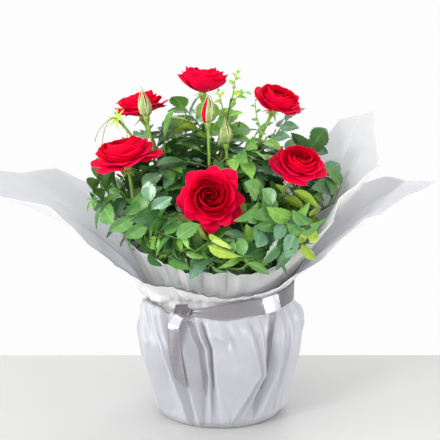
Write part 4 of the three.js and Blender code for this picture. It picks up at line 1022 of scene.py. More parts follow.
# Headings at which a shoot of each front mass reaches the inner sheet's rim, where its leaves hang over it.
RIM_HEADINGS = {"front_left": range(214, 270, 6), "front_right": range(274, 320, 6)}
FLOWERS = (
    Flower("front", "front_left", 0, (-8, -60, 211), (-0.03, -0.94, 0.33), 31.5, 0.0),
    Flower("left", "left", 0, (-83, -36, 245), (-0.24, -0.08, 0.96), 31, 0.12),
    Flower("upper_left", "left", 1, (-73, 34, 277), (-0.22, 0.08, 0.96), 26.5, 0.15),
    Flower("top", "top", 0, (-15, 14, 300), (0.05, 0.08, 0.99), 23, 0.65),
    Flower("upper_right", "back_right", 0, (51, 9, 284), (0.34, -0.3, 0.89), 23, 0.35),
    Flower("right", "right", 0, (70, -19, 233), (0.2, -0.5, 0.84), 25.5, 0.1),
)
BUDS = (
    Bud("left", "left", 2, (-65, 1, 271), (-0.14, 0, 1), 25, 5.8, 3.45, 0.2),
    Bud("centre", "top", 1, (-10.4, -18, 268), (0, 0, 1), 27, 6.0, 2.38, 1.0),
    Bud("right", "top", 2, (5.3, -8, 248), (-0.05, 0, 1), 24, 6.2, 3.6, 0.2),
)
# Open places in front of the buds and stalks: both ends of each and its half width.
GLADES = (
    ((5, -14, 262), (5, -60, 266), 9.0),
    ((6, -16, 246), (6, -60, 250), 7.0),
    ((-10, -22, 240), (-10, -60, 246), 6.0),
    ((-60, -10, 262), (-58, -50, 266), 8.0),
    ((46, 0, 262), (46, -40, 264), 6.0),
    ((-78, -50, 214), (-78, -80, 216), 7.0),
    ((60, -34, 206), (60, -70, 208), 6.0),
)
DEPTH = 0.4  # of a flower's radius, from the petals' foot to the flower's middle
RISE = 0.95  # of a flower's radius, its reach along its axis


@dataclass
class Shoot:
    """A curve of the plant's frame and the mass that it belongs to."""

    mass: str
    number: int
    curve: Arc


@dataclass
class Frame:
    """The curves of canes, shoots and flower stalks, grown by one rule from the masses and flowers."""

    soil: float = 101.3
    first_fork: float = 0.06
    fork_step: float = 0.13
    rim_inside: float = 3.0
    rim_above: float = 3.5
    canes: list[Shoot] = field(default_factory=list)
    shoots: list[Shoot] = field(default_factory=list)
    stalks: list[tuple[Flower, np.ndarray, np.ndarray, Arc]] = field(default_factory=list)
    bud_stalks: list[tuple[Bud, np.ndarray, np.ndarray, Arc]] = field(default_factory=list)

    def grow(self) -> None:
        """Lay out every curve."""
        for mass in MASSES:
            foot = np.array(mass.foot, float)
            arrival = unit(foot - np.array((foot[0] * 0.62, foot[1] * 0.62, 101.0)))
            ground = np.array((foot[0] * 0.42, foot[1] * 0.42, self.soil))
            self.canes.append(Shoot(mass.name, 0, Arc(ground, UP, foot, arrival, 0.4)))
            tip, heading = mass.shoots[0]
            main = Arc(foot, arrival, np.array(tip, float), direction(heading))
            for number, (tip, heading) in enumerate(mass.shoots + FINER[mass.name] + self.over_rim(mass.name)):
                end = np.array(tip, float)
                fork = main.at(max(self.first_fork + self.fork_step * (number - 1), 0) % 0.8)
                away = unit(0.4 * main.heading(0) + 0.6 * unit(end - fork))
                self.shoots.append(Shoot(mass.name, number, main if number == 0 else Arc(fork, away, end, direction(heading))))
        for flower in FLOWERS:
            start, heading = self.end_of(flower.mass, flower.shoot)
            facing = direction(flower.facing)
            seat = np.array(flower.centre, float) - DEPTH * flower.radius * facing
            self.stalks.append((flower, seat, facing, Arc(start, heading, seat, facing, 0.4)))
        for bud in BUDS:
            start, heading = self.end_of(bud.mass, bud.shoot)
            facing = direction(bud.facing)
            base = np.array(bud.base, float)
            self.bud_stalks.append((bud, base, facing, Arc(start, heading, base, facing)))

    def over_rim(self, mass: str) -> tuple[tuple[Point, Point], ...]:
        """Tip and heading of each shoot of a mass that ends just inside and above the inner sheet's rim."""
        shoots = []
        for heading in RIM_HEADINGS.get(mass, ()):
            angle = math.radians(heading)
            reach, height, _ = Edge.find(INNER_CORNERS, angle)
            out = reach - self.rim_inside
            shoots.append(((out * math.cos(angle), out * math.sin(angle), height + self.rim_above), (math.cos(angle), math.sin(angle), 0.05)))
        return tuple(shoots)

    def end_of(self, mass: str, number: int) -> tuple[np.ndarray, np.ndarray]:
        """Where a shoot ends and the way it runs there."""
        shoot = next(s for s in self.shoots if s.mass == mass and s.number == number)
        return shoot.curve.at(1.0), shoot.curve.heading(1.0)


# ---------------------------------------------------------------- room for the leaves


@dataclass
class Room:
    """What a leaf keeps clear of, and the space of each mass."""

    frame: Frame
    wrap: PaperWrap
    centre: Point = (2, -2, 208)
    reach: Point = (124, 100, 108)
    heart: Point = (0, 8, 165)
    cell_margin: float = -6.0
    paper_gap: float = 3.0
    spill: float = 26.0
    lane: float = 3.4

    def __post_init__(self) -> None:
        """Measure the frame, the flowers and the paper once."""
        names = [mass.name for mass in MASSES]
        self.spines = np.concatenate([s.curve.at(np.linspace(0, 1, 26)) for s in self.frame.shoots])
        self.owners = np.repeat([names.index(s.mass) for s in self.frame.shoots], 26)
        self.numbers = np.repeat([s.number for s in self.frame.shoots], 26)
        curves = [s.curve for s in self.frame.canes] + [c for *_, c in self.frame.stalks] + [c for *_, c in self.frame.bud_stalks]
        self.limbs = np.concatenate([c.at(np.linspace(0, 1, 26)) for c in curves])
        lane = np.where(np.arange(26) > 6, self.lane, 0.0)
        self.extra = np.concatenate([np.zeros(26) if k < len(MASSES) else lane for k in range(len(curves))])
        self.blooms = []
        for flower, seat, facing, _ in self.frame.stalks:
            middle = seat + facing * (RISE / 2 - 0.1) * flower.radius
            self.blooms.append((middle, facing, flower.radius * (1 - 0.3 * flower.cup) + 2, (RISE / 2 + 0.1) * flower.radius + 2))
        for bud, base, facing, _ in self.frame.bud_stalks:
            self.blooms.append((base + facing * bud.length / 2, facing, bud.radius + 3.5, bud.length / 2 + 3))
        edge = Edge(INNER_CORNERS, 720)
        self.brim, self.rim = edge.height, edge.reach
        self.paper_r, self.paper_z = edge.collar(self.wrap.neck, self.wrap.neck.inner, np.linspace(0, 1, 12))

    def owns(self, mass: int, points: np.ndarray) -> bool:
        """Whether every point lies in a mass's own space."""
        gaps = np.linalg.norm(points[:, None] - self.spines[None], axis=-1)
        own = np.where(self.owners == mass, gaps, np.inf).min(1)
        other = np.where(self.owners == mass, np.inf, gaps).min(1)
        return bool((own + self.cell_margin < other).all())

    def clear(self, points: np.ndarray, gap: float) -> bool:
        """Whether every point is inside the crown and clear of limbs, flowers and paper."""
        if (np.linalg.norm((points - self.centre) / self.reach, axis=1) > 1).any():
            return False
        k = np.round((np.arctan2(points[:, 1], points[:, 0]) % TAU) / TAU * 720).astype(int) % 720
        below = self.paper_z[:, k] <= points[:, 2]
        limit = np.where(below, self.paper_r[:, k], self.wrap.neck.inner).max(0) - self.paper_gap
        limit = np.where(points[:, 2] > self.brim[k] + 1.5, np.inf, limit)
        out = np.hypot(points[:, 0], points[:, 1])
        over = (out > self.rim[k] + 2.0) & (points[:, 2] > self.brim[k] - self.spill) & (points[:, 1] < 20)
        if ((out > limit) & ~over).any():
            return False
        if (np.linalg.norm(points[:, None] - self.limbs[None], axis=-1).min(0) < gap + self.extra).any():
            return False
        for one, two, width in GLADES:
            line = np.linspace(one, two, 12)
            if np.linalg.norm(points[:, None] - line[None], axis=-1).min() < width:
                return False
        for middle, facing, radius, half in self.blooms:
            away = points - middle
            along = away @ facing
            across = np.sqrt(np.maximum((away**2).sum(1) - along**2, 0))
            if (np.hypot(across / radius, along / half) < 1).any():
                return False
        return True

    def apart(self, mass: int, points: np.ndarray, gap: float, but: int = -1) -> bool:
        """Whether every point keeps a gap from every shoot, but one of a mass's own."""
        others = self.spines[(self.owners != mass) | (self.numbers != but)]
        return bool(np.linalg.norm(points[:, None] - others[None], axis=-1).min() > gap)

    def bare(self, mass: str, place: np.ndarray) -> float:
        """The chance that a place on a shoot carries no leaf: high at the crown's sides and over its top."""
        side = 0.6 * float(smooth(abs(place[0]), 66, 88)) * float(1 - smooth(place[2], 226, 240))
        return max(side, 1.5 * float(smooth(place[2], 236, 254)) if mass == "top" else 0.0)


# ---------------------------------------------------------------- leaves


@dataclass
class Blade:
    """A leaflet: pointed oval with a toothed edge, folded along its midrib, its veins pressed in."""

    teeth: int = 7
    slenderness: float = 0.31
    fold: float = 0.30
    hang: float = 0.13
    vein: float = 0.034

    def __post_init__(self) -> None:
        """Lay out the flat blade once: along it, across it and lift, as shares of its length and half width."""
        rows = 2 * self.teeth + 1
        t = np.linspace(0, 1, rows)
        half = (np.maximum(t, 1e-6) ** 0.66) * (np.maximum(1 - t, 0) ** 0.92)
        half = half / half.max()
        tooth = np.where(np.arange(rows) % 2 == 1, 1.05, 0.93)
        rib = 0.075 * (1 - 0.8 * t)
        columns = [(-half * tooth, 1), (-0.52 * half, 0.5), (-rib, 0), (rib, 0), (0.52 * half, 0.5), (half * tooth, 1)]
        wave = np.where(np.arange(rows) % 2 == 1, 1.0, -1.0) * np.sin(math.pi * t) ** 0.5
        shapes = []
        for across, level in columns:
            along = t + (0.03 * level - 0.10 * abs(level) * 0.0) * np.sin(math.pi * t) + 0.05 * level * half * (1 - t)
            lift = np.abs(across) * self.slenderness * self.fold + wave * self.vein * (0.9 if level == 0.5 else 0.0) - 0.012 * (level == 1) * wave
            shapes.append(np.stack((along, across, lift), -1))
        self.shape = np.stack(shapes, 1).reshape(-1, 3)
        self.faces = grid_faces(rows, 6)
        strip = np.tile(np.arange(5), rows - 1)
        self.ribs = (strip == 2).astype(int)
        coarse = [(0.02, 0), (0.25, -0.85), (0.55, -0.85), (1, 0), (0.55, 0.85), (0.25, 0.85), (0.4, 0)]
        self.coarse = np.array(coarse)
        self.coarse_faces = [(6, k, (k + 1) % 6) for k in range(6)]
        self.samples = np.array([(a, 0) for a in (0.2, 0.45, 0.7, 0.95)] + [(a, b * s) for a, b in ((0.25, 0.7), (0.45, 0.95), (0.65, 0.7), (0.82, 0.4)) for s in (-1, 1)])


@dataclass
class Leaflet:
    """A blade's place in its leaf: where it leaves the leaf's stalk, the way it points, its length and its own turn."""

    station: float
    side: int
    length: float
    angle: float
    curl: float
    roll: float

    def flat(self, shares: np.ndarray, slenderness: float) -> np.ndarray:
        """Places on the blade, given as shares, in the leaf's plane."""
        side = self.side if self.side else 1
        along = np.array((math.cos(self.angle), side * math.sin(self.angle)))
        across = np.array((-along[1], along[0]))
        foot = np.array((self.station, self.side * 0.5))
        return foot + shares[:, :1] * self.length * along + shares[:, 1:2] * self.length * slenderness * across


@dataclass
class Leaf:
    """One compound leaf: its stalk's bend and its leaflets."""

    start: np.ndarray
    heading: np.ndarray
    normal: np.ndarray
    whole: float
    end: float
    leaflets: list[Leaflet]
    tone: Tone
    droop: float
    cup: float = 0.010

    def carry(self, flat: np.ndarray, lift: np.ndarray | float = 0.0) -> np.ndarray:
        """Bend places in the leaf's plane into their real places."""
        across = np.cross(self.normal, self.heading)
        x, y = flat[:, 0], flat[:, 1]
        bend = self.droop * np.maximum(x, 0) ** 2 / self.whole
        rise = lift - self.cup * y * y
        return self.start + np.outer(x, self.heading) + np.outer(y, across) - np.outer(bend, UP) + np.outer(rise, self.normal)


@dataclass
class Foliage:
    """The leaves of every mass, dealt out along its shoots and their finer twigs by one rule."""

    frame: Frame
    room: Room
    blade: Blade = field(default_factory=Blade)
    seed: int = 41
    spacing: float = 5.2
    bare: float = 6.0
    turn: float = math.radians(137.5)
    lean: float = math.radians(66)
    tries: int = 18
    end_tries: int = 5
    petiole: float = 9.0
    pair_spacing: float = 13.5
    end_spacing: float = 8.5
    terminal: float = 31.0
    lateral: float = 27.0
    side_angle: float = math.radians(68)
    twig_spacing: float = 12.0
    boxes: list[np.ndarray] = field(default_factory=list)
    trees: list[BVHTree] = field(default_factory=list)

    def grow_leaf(self, start: np.ndarray, heading: np.ndarray, pairs: int, size: float, tone: Tone, dice: Dice) -> Leaf:
        """A leaf with all of its leaflets, before any is dropped for want of room."""
        face = UP * 0.4 + unit(start - np.array(self.room.heart))
        normal = unit(face - heading * np.dot(face, heading))
        end = (self.petiole + self.pair_spacing * (pairs - 1) + self.end_spacing) * size
        leaflets = []
        for pair in range(pairs):
            station = (self.petiole + self.pair_spacing * pair) * size
            for side in (-1, 1):
                length = self.lateral * size * dice.span(0.78, 1.0) * (0.86 if pairs > 1 and pair == 0 else 1.0)
                leaflets.append(Leaflet(station, side, length, self.side_angle * dice.span(0.85, 1.1), dice.span(0.4, 1.5), dice.span(-0.25, 0.25)))
        leaflets.append(Leaflet(end, 0, self.terminal * size * dice.span(0.88, 1.05), 0.0, dice.span(0.4, 1.6), dice.span(-0.2, 0.2)))
        low = 0.55 * float(1 - smooth(start[2], 158, 185))
        return Leaf(start, heading, normal, end + self.terminal * size, end, leaflets, tone, dice.span(0.12, 0.4) + low)

    def try_leaf(self, mass: int, curve: Arc, number: int, t: float, azimuth: float, size: float, tone: Tone, dice: Dice, last: bool = False) -> Leaf | None:
        """A leaf at a place on a shoot with the leaflets of it that have room, or None."""
        start, tangent = curve.at(t), curve.heading(t)
        a, b = sideways(tangent)
        side = a * math.cos(azimuth) + b * math.sin(azimuth)
        lean = self.lean * dice.span(0.7, 1.15) * (0.35 if last else 1.0)
        heading = unit(tangent * math.cos(lean) + side * math.sin(lean))
        leaf = self.grow_leaf(start, heading, 2 if dice.roll() < 0.5 else 1, size, tone, dice)
        stalk = leaf.carry(np.outer(np.linspace(0.25, 1, 5), (leaf.end, 0)))
        if not (self.room.owns(mass, stalk[1:]) and self.room.clear(stalk, 1.8) and self.room.apart(mass, stalk[1:], 1.6, number)):
            return None
        kept = []
        for leaflet in leaf.leaflets:
            points = leaf.carry(leaflet.flat(self.blade.samples, self.blade.slenderness))
            if self.room.owns(mass, points) and self.room.clear(points, 2.6) and self.room.apart(mass, points, 1.9):
                kept.append(leaflet)
        if len(kept) < 2:
            return None
        leaf.leaflets = kept
        return leaf if self.claim(leaf) else None

    def claim(self, leaf: Leaf) -> bool:
        """Take the space of a leaf, unless another leaf is in it."""
        points, faces = [], []
        for leaflet in leaf.leaflets:
            base = len(points)
            points.extend(leaf.carry(leaflet.flat(self.blade.coarse, self.blade.slenderness)))
            faces.extend(tuple(base + k for k in face) for face in self.blade.coarse_faces)
        cloud = np.array(points)
        box = np.concatenate((cloud.min(0), cloud.max(0)))
        tree = BVHTree.FromPolygons([tuple(p) for p in cloud], faces)
        if self.boxes:
            others = np.array(self.boxes)
            near = (others[:, :3] <= box[3:]).all(1) & (others[:, 3:] >= box[:3]).all(1)
            if any(self.trees[k].overlap(tree) for k in np.nonzero(near)[0]):
                return False
        self.boxes.append(box)
        self.trees.append(tree)
        return True

    def pick_tone(self, outer: bool, dice: Dice) -> Tone:
        """A green for one spray: more often a young one at the end of a shoot."""
        roll = dice.roll()
        shares = ((Tone.DEEP, 0.20), (Tone.MID, 0.46), (Tone.BLUE, 0.66), (Tone.FRESH, 0.88)) if outer else ((Tone.DEEP, 0.36), (Tone.MID, 0.68), (Tone.BLUE, 0.92), (Tone.FRESH, 0.985))
        return next((tone for tone, limit in shares if roll < limit), Tone.YOUNG)

    def grow_twigs(self, mass: int, shoots: list[Shoot], dice: Dice) -> list[tuple[int, Arc]]:
        """Finer twigs that fork from the shoots by the same turn and keep to the mass's space."""
        twigs = []
        for shoot in shoots:
            azimuth = dice.span(0, TAU)
            for k in range(int(shoot.curve.length * 0.7 / self.twig_spacing)):
                t = 0.92 - k * self.twig_spacing / shoot.curve.length
                for _ in range(8):
                    azimuth += self.turn
                    tangent = shoot.curve.heading(t)
                    a, b = sideways(tangent)
                    side = a * math.cos(azimuth) + b * math.sin(azimuth)
                    start = shoot.curve.at(t)
                    length = dice.span(13, 24)
                    away = unit(tangent * 0.55 + side * 0.85)
                    end = start + away * length + UP * 0.12 * length
                    curve = Arc(start, away, end, unit(away + UP * 0.5), 0.36)
                    points = curve.at(np.linspace(0.3, 1, 6))
                    if self.room.owns(mass, points) and self.room.clear(points, 3.0) and self.room.apart(mass, points[1:], 3.0):
                        twigs.append((shoot.number, curve))
                        break
        return twigs

    def dress(self, mesh: JoinedMesh, stems: JoinedMesh, leaf: Leaf) -> None:
        """Add a leaf's blades to one mesh and its stalk to another."""
        number = leaf.tone.number
        for leaflet in leaf.leaflets:
            shape = self.blade.shape
            flat = leaflet.flat(shape[:, :2], self.blade.slenderness)
            lift = leaflet.length * (shape[:, 2] - self.blade.hang * leaflet.curl * shape[:, 0] ** 2 + leaflet.roll * shape[:, 1] * shape[:, 0] * self.blade.slenderness)
            mesh.add(leaf.carry(flat, lift), self.blade.faces, number + self.blade.ribs)
        far = max((leaflet.station for leaflet in leaf.leaflets), default=leaf.end)
        line = leaf.carry(np.outer(np.linspace(0, 1, 7), (far + 0.5, 0)), -0.15)
        stems.add(*tube(line, np.linspace(0.75, 0.42, 7), 4), 1)

    def make_mass(self, number: int, mass: Mass) -> int:
        """One mass: its shoots, its twigs and every leaf that has room.

        Args:
            number: The mass's place in the list.
            mass: The mass.

        Returns:
            How many leaflets it has.
        """
        dice = Dice(self.seed + 97 * number)
        shoots = [s for s in self.frame.shoots if s.mass == mass.name]
        twigs = self.grow_twigs(number, shoots, dice)
        blades, stems = JoinedMesh(), JoinedMesh()
        count = 0
        carriers = [(s.number, s.curve, self.spacing, self.bare) for s in shoots] + [(n, c, 4.6, 3.0) for n, c in twigs]
        leafy = set()
        for which, curve, spacing, bare in carriers:
            azimuth = dice.span(0, TAU)
            for k in range(max(int((curve.length - bare) / spacing), 1)):
                t = max(1 - (1.5 + k * spacing) / curve.length, 0.1)
                if dice.roll() < self.room.bare(mass.name, curve.at(t)):
                    continue
                for attempt in range(self.tries):
                    azimuth += self.turn
                    size = (1.08 - 0.013 * attempt) * dice.span(0.84, 1.06)
                    last = k == 0 and attempt < self.end_tries
                    leaf = self.try_leaf(number, curve, which, t, azimuth, size, self.pick_tone(k < 2, dice), dice, last)
                    if leaf:
                        self.dress(blades, stems, leaf)
                        leafy.add(id(curve))
                        count += len(leaf.leaflets)
                        break
        for shoot in shoots:
            steps = np.linspace(0, 1, 15)
            stems.add(*tube(shoot.curve.at(steps), 1.75 - 0.7 * steps, 8))
        for curve in (c for _, c in twigs if id(c) in leafy):
            steps = np.linspace(0, 1, 7)
            stems.add(*tube(curve.at(steps), 1.0 - 0.35 * steps, 6), 1)
        blades.make("leaf_blades_" + mass.name, Tone.finishes(), "foliage", ("leaves_" + mass.name,))
        stems.make("leaf_twigs_" + mass.name, [CANE_BARK, TWIG_BARK], "foliage", ("leaves_" + mass.name,))
        return count

    def make(self) -> None:
        """Every mass of foliage."""
        counts = [self.make_mass(number, mass) for number, mass in enumerate(MASSES)]
        LOG.info("leaflets per mass %s, %d in all", counts, sum(counts))


# ---------------------------------------------------------------- canes and stalks


@dataclass
class Canes:
    """The canes from the soil to the masses: flared foot, ridged bark and a few thorns."""

    frame: Frame
    foot: float = 2.7
    tip: float = 2.0
    flare: float = 3.8

    def make(self) -> None:
        """Each cane is a piece of its own."""
        for number, cane in enumerate(self.frame.canes):
            mesh, dice = JoinedMesh(), Dice(500 + number)
            steps = np.linspace(0, 1, 26)
            line = cane.curve.at(steps)
            radius = self.foot + (self.tip - self.foot) * steps + (self.flare - self.foot) * np.maximum(0, 1 - steps * cane.curve.length / 5) ** 2
            angles = np.arange(12) * TAU / 12
            ridges = 1 + 0.05 * np.cos(angles * 4 + 3 * steps[:, None]) + 0.05 * np.sin(steps * 40 + number)[:, None]
            mesh.add(*tube(line, radius[:, None] * ridges, 12))
            for _ in range(5):
                t = dice.span(0.2, 0.95)
                tangent = cane.curve.heading(t)
                a, b = sideways(tangent)
                turn = dice.span(0, TAU)
                out = a * math.cos(turn) + b * math.sin(turn)
                root = cane.curve.at(t) + out * 1.9
                mesh.add(*tube(np.array([root, root + out * 1.2, root + out * 2.4 - tangent * 0.8]), np.array((0.9, 0.5, 0.12)), 5), 1)
            mesh.make("cane_bark_" + cane.mass, [CANE_BARK, THORN], "cane", ("cane_" + cane.mass,))


def sepal(root: np.ndarray, along: np.ndarray, normal: np.ndarray, length: float, half: float, curl: float, finish: int = 0) -> tuple[np.ndarray, np.ndarray, np.ndarray]:
    """A narrow green blade that runs out to a thread.

    Args:
        root: Where it starts.
        along: The way it sets out.
        normal: The way its face looks.
        length: How long it is.
        half: Half its greatest width.
        curl: How far its tip bends away from its face, as a share of its length.
        finish: The number of its finish; its edges take the next one.

    Returns:
        Its points, its quads and the finish of each.
    """
    across = np.cross(along, normal)
    t = np.linspace(0, 1, 10)[:, None]
    s = np.linspace(-1, 1, 5)[None, :]
    width = half * (0.55 + 0.9 * t) * np.maximum(1 - t, 0) ** 1.3 * 1.5 + 0.12
    lift = -curl * length * t**2 - 0.3 * width * s * s
    places = root + (t * length)[..., None] * along + (s * width)[..., None] * across + lift[..., None] * normal
    marks = np.tile((1, 0, 0, 1), 9) + finish
    return places.reshape(-1, 3), grid_faces(10, 5), marks


@dataclass
class Rose:
    """An open flower: petals wrapped round its heart by the golden turn, opening outwards and rolled back at their rims."""

    flower: Flower
    seat: np.ndarray
    facing: np.ndarray
    curve: Arc
    seed: int
    petals: int = 40
    across: int = 15
    along: int = 12

    def profile(self, u: float, v: np.ndarray, bend: float) -> tuple[np.ndarray, np.ndarray]:
        """The line up a petal's middle, as shares of the flower's radius.

        Args:
            u: The petal's place, from 0 at the heart to 1 outermost.
            v: Places up the petal from its foot at 0 to its rim at 1.
            bend: How far this petal departs from its neighbours.

        Returns:
            Distance from the axis and height.
        """
        cup = self.flower.cup
        layers = (0, 0.22, 0.45, 0.7, 0.86, 1.0)
        height = float(np.interp(u, layers, (0.60, 0.69, 0.66, 0.50, 0.28, 0.05))) * (1 - cup) + float(np.interp(u, layers, (0.80, 0.90, 1.0, 0.98, 0.9, 0.76))) * cup
        reach = (0.05 + 0.95 * u) * (1.06 - 0.05 * cup * u) * (1 + 0.05 * bend * u)
        height += 0.06 * bend
        k = float(smooth(u, 0.3, 0.8)) * (1 - 0.8 * cup)
        r0, z0 = 0.04 + 0.10 * u, 0.10 * (1 - u)
        r1 = (1 - k) * (reach + 0.10) + k * 0.42 * reach
        z1 = (1 - k) * (z0 + 0.22) + k * (z0 + 0.10)
        r2 = (1 - k) * (reach + 0.07) + k * 0.86 * reach
        z2 = (1 - k) * (height - 0.12) + k * (height + 0.16)
        s = 1 - v
        r = s**3 * r0 + 3 * s * s * v * r1 + 3 * s * v * v * r2 + v**3 * reach
        z = s**3 * z0 + 3 * s * s * v * z1 + 3 * s * v * v * z2 + v**3 * height
        return r, z

    def petal(self, mesh: JoinedMesh, u: float, turn: float, dice: Dice) -> None:
        """Add one petal.

        Args:
            mesh: The flower's mesh.
            u: The petal's place, from 0 at the heart to 1 outermost.
            turn: Its heading round the axis.
            dice: The flower's dice.
        """
        v = np.concatenate((np.linspace(0, 0.93, self.along - 1), (1.0,)))[:, None]
        s = np.linspace(-1, 1, self.across)[None, :]
        open_ = float(smooth(u, 0.3, 0.9)) * max(1 - 1.2 * self.flower.cup, 0.1)
        pointed = max(1 - 5 * self.flower.cup, 0.3)
        cut = 0.14 + 0.35 * self.flower.cup + 0.34 * open_ * (0.4 + 0.6 * pointed) * (0.8 + 0.4 * dice.roll())
        rim = v * (1 - cut * np.abs(s) ** (2.4 + self.flower.cup - 1.2 * open_ * pointed))
        bend = dice.span(-1, 1)
        r, z = self.profile(u, rim, bend)
        half = float(np.interp(u, (0, 0.25, 0.5, 0.8, 1), (1.5, 1.15, 0.85, 0.68, 0.66))) * (1 + 0.5 * self.flower.cup * float(smooth(u, 0.4, 0.8)))
        angle = turn + s * half * (0.6 + 0.4 * np.sin(math.pi * (0.1 + 0.62 * rim)))
        p1, p2 = dice.span(0, TAU), dice.span(0, TAU)
        r = r + (0.055 - 0.02 * u) * s * (0.4 + 0.6 * v) + 0.018 * np.sin(4.2 * s + p1) * v**2 * (0.5 + u)
        r = r * (1 - 0.22 * open_ * pointed * np.abs(s) ** 1.4 * v**2)
        z = z + 0.030 * np.sin(5 * s + p2) * v**3 * (0.4 + 0.8 * u)
        z = z - 0.16 * open_ * np.abs(s) ** 2 * v**3 + 0.035 * open_ * np.exp(-((s / 0.22) ** 2)) * v**6
        z = z + 0.025 * (1 - open_) * (1 - s * s) * v**4 + 0.16 * self.flower.cup * (np.sin(angle) ** 2 - 0.5) * v**2
        radius = self.flower.radius
        a, b = sideways(self.facing)
        places = self.seat + radius * (r[..., None] * (np.cos(angle)[..., None] * a + np.sin(angle)[..., None] * b) + z[..., None] * self.facing)
        # The innermost petals take the darker red of painted shade.
        tone = Bloom.HEART if u < 0.24 else Bloom.INNER if u < 0.5 else Bloom.OUTER
        marks = np.full((self.along - 1, self.across - 1), tone.number)
        if u > 0.2:
            marks[-1] = Bloom.RIM.number if u > 0.5 else Bloom.OUTER.number
        mesh.add(places, grid_faces(self.along, self.across), marks.ravel())

    def make(self) -> None:
        """The petals as one piece, and the stalk with its hip and sepals as another."""
        dice = Dice(self.seed)
        mesh = JoinedMesh()
        for k in range(self.petals):
            u = (k / (self.petals - 1)) ** 0.86
            self.petal(mesh, u, k * 2.39996 + self.seed, dice)
        mesh.make("petals_" + self.flower.name, [tone.value for tone in Bloom], "petal", ("rose_" + self.flower.name,))
        stalk = JoinedMesh()
        steps = np.linspace(0, 1, 34)
        below = (1 - steps) * self.curve.length / 6
        swollen = 1.5 + 1.9 * np.maximum(0, 1 - (below - 0.3) ** 2)
        radius = np.maximum(1.3 + 0.2 * steps, swollen) * (1 + 0.03 * np.sin(steps * 60))
        stalk.add(*tube(self.curve.at(steps), radius, 12))
        a, b = sideways(self.facing)
        for k in range(5):
            turn = k * TAU / 5 + dice.span(-0.2, 0.2)
            out = a * math.cos(turn) + b * math.sin(turn)
            along = unit(out - self.facing * dice.span(0.1, 0.6))
            normal = unit(np.cross(np.cross(along, self.facing), along))
            stalk.add(*sepal(self.seat - self.facing * 1.5 + out * 1.2, along, normal, self.flower.radius * dice.span(0.32, 0.46), 2.1, dice.span(0.1, 0.35), 0))
        stalk.make("flower_stalk_" + self.flower.name, [STALK_SKIN, SEPAL_SKIN, SEPAL_EDGE], "stalk", ("stalk_" + self.flower.name,))


@dataclass
class ClosedBud:
    """A pointed bud: a twist of red petals in five long sepals, on its stalk."""

    bud: Bud
    base: np.ndarray
    facing: np.ndarray
    curve: Arc
    seed: int

    def make(self) -> None:
        """Stalk, hip, petals and sepals as one piece."""
        dice = Dice(self.seed)
        mesh = JoinedMesh()
        steps = np.linspace(0, 1, 24)
        below = (1 - steps) * self.curve.length / 5
        radius = np.maximum(1.25, 1.3 + 1.5 * np.maximum(0, 1 - (below - 0.2) ** 2))
        mesh.add(*tube(self.curve.at(steps), radius, 12))
        a, b = sideways(self.facing)
        length, fat = self.bud.length, self.bud.radius
        v = np.linspace(0, 1, 18)
        body = fat * np.interp(v, (0, 0.1, 0.3, 0.52, 0.74, 0.86, 1), (0.35, 0.78, 1, 0.84, 0.46, 0.22, 0.02))
        angles = np.linspace(0, TAU, 25)[None, :]
        swirl = angles + 1.1 * v[:, None]
        ridge = 1 + 0.07 * np.sin(3 * swirl)
        r = (body * 0.93)[:, None] * ridge
        core = self.base + (r * np.cos(angles))[..., None] * a + (r * np.sin(angles))[..., None] * b + (v * length * 0.86)[:, None, None] * self.facing
        mesh.add(core, grid_faces(18, 25), 3)
        for k in range(5):
            middle = self.bud.open_side + TAU / 10 + k * TAU / 5
            beside = k in (0, 4)
            half = 0.68 * (1 - 0.42 * self.bud.red * beside)
            middle += (0.20 if k == 0 else -0.20 if k == 4 else 0) * self.bud.red
            s = np.linspace(-1, 1, 7)[None, :]
            t = np.linspace(0, 1, 20)[:, None]
            wide = half * np.maximum(1 - t**2.2, 0) ** 0.8 + 0.05
            skin = fat * np.interp(t, (0, 0.1, 0.3, 0.52, 0.74, 0.88, 1), (0.4, 0.84, 1.04, 0.86, 0.46, 0.18, 0.05))
            reach = length * (0.9 + 0.22 * dice.roll())
            tip = dice.span(-0.3, 0.7) * t**5
            turn = middle + s * wide + 0.15 * t**2
            bulge = skin + 0.35 - 0.25 * np.abs(s) + tip
            places = self.base + (bulge * np.cos(turn))[..., None] * a + (bulge * np.sin(turn))[..., None] * b + (t * reach)[..., None] * self.facing
            marks = np.tile((2, 1, 1, 1, 1, 2), 19)
            mesh.add(places, grid_faces(20, 7), marks)
        mesh.make("closed_bud_" + self.bud.name, [STALK_SKIN, SEPAL_SKIN, SEPAL_EDGE, Bloom.INNER.value], "stalk", ("bud_" + self.bud.name,))


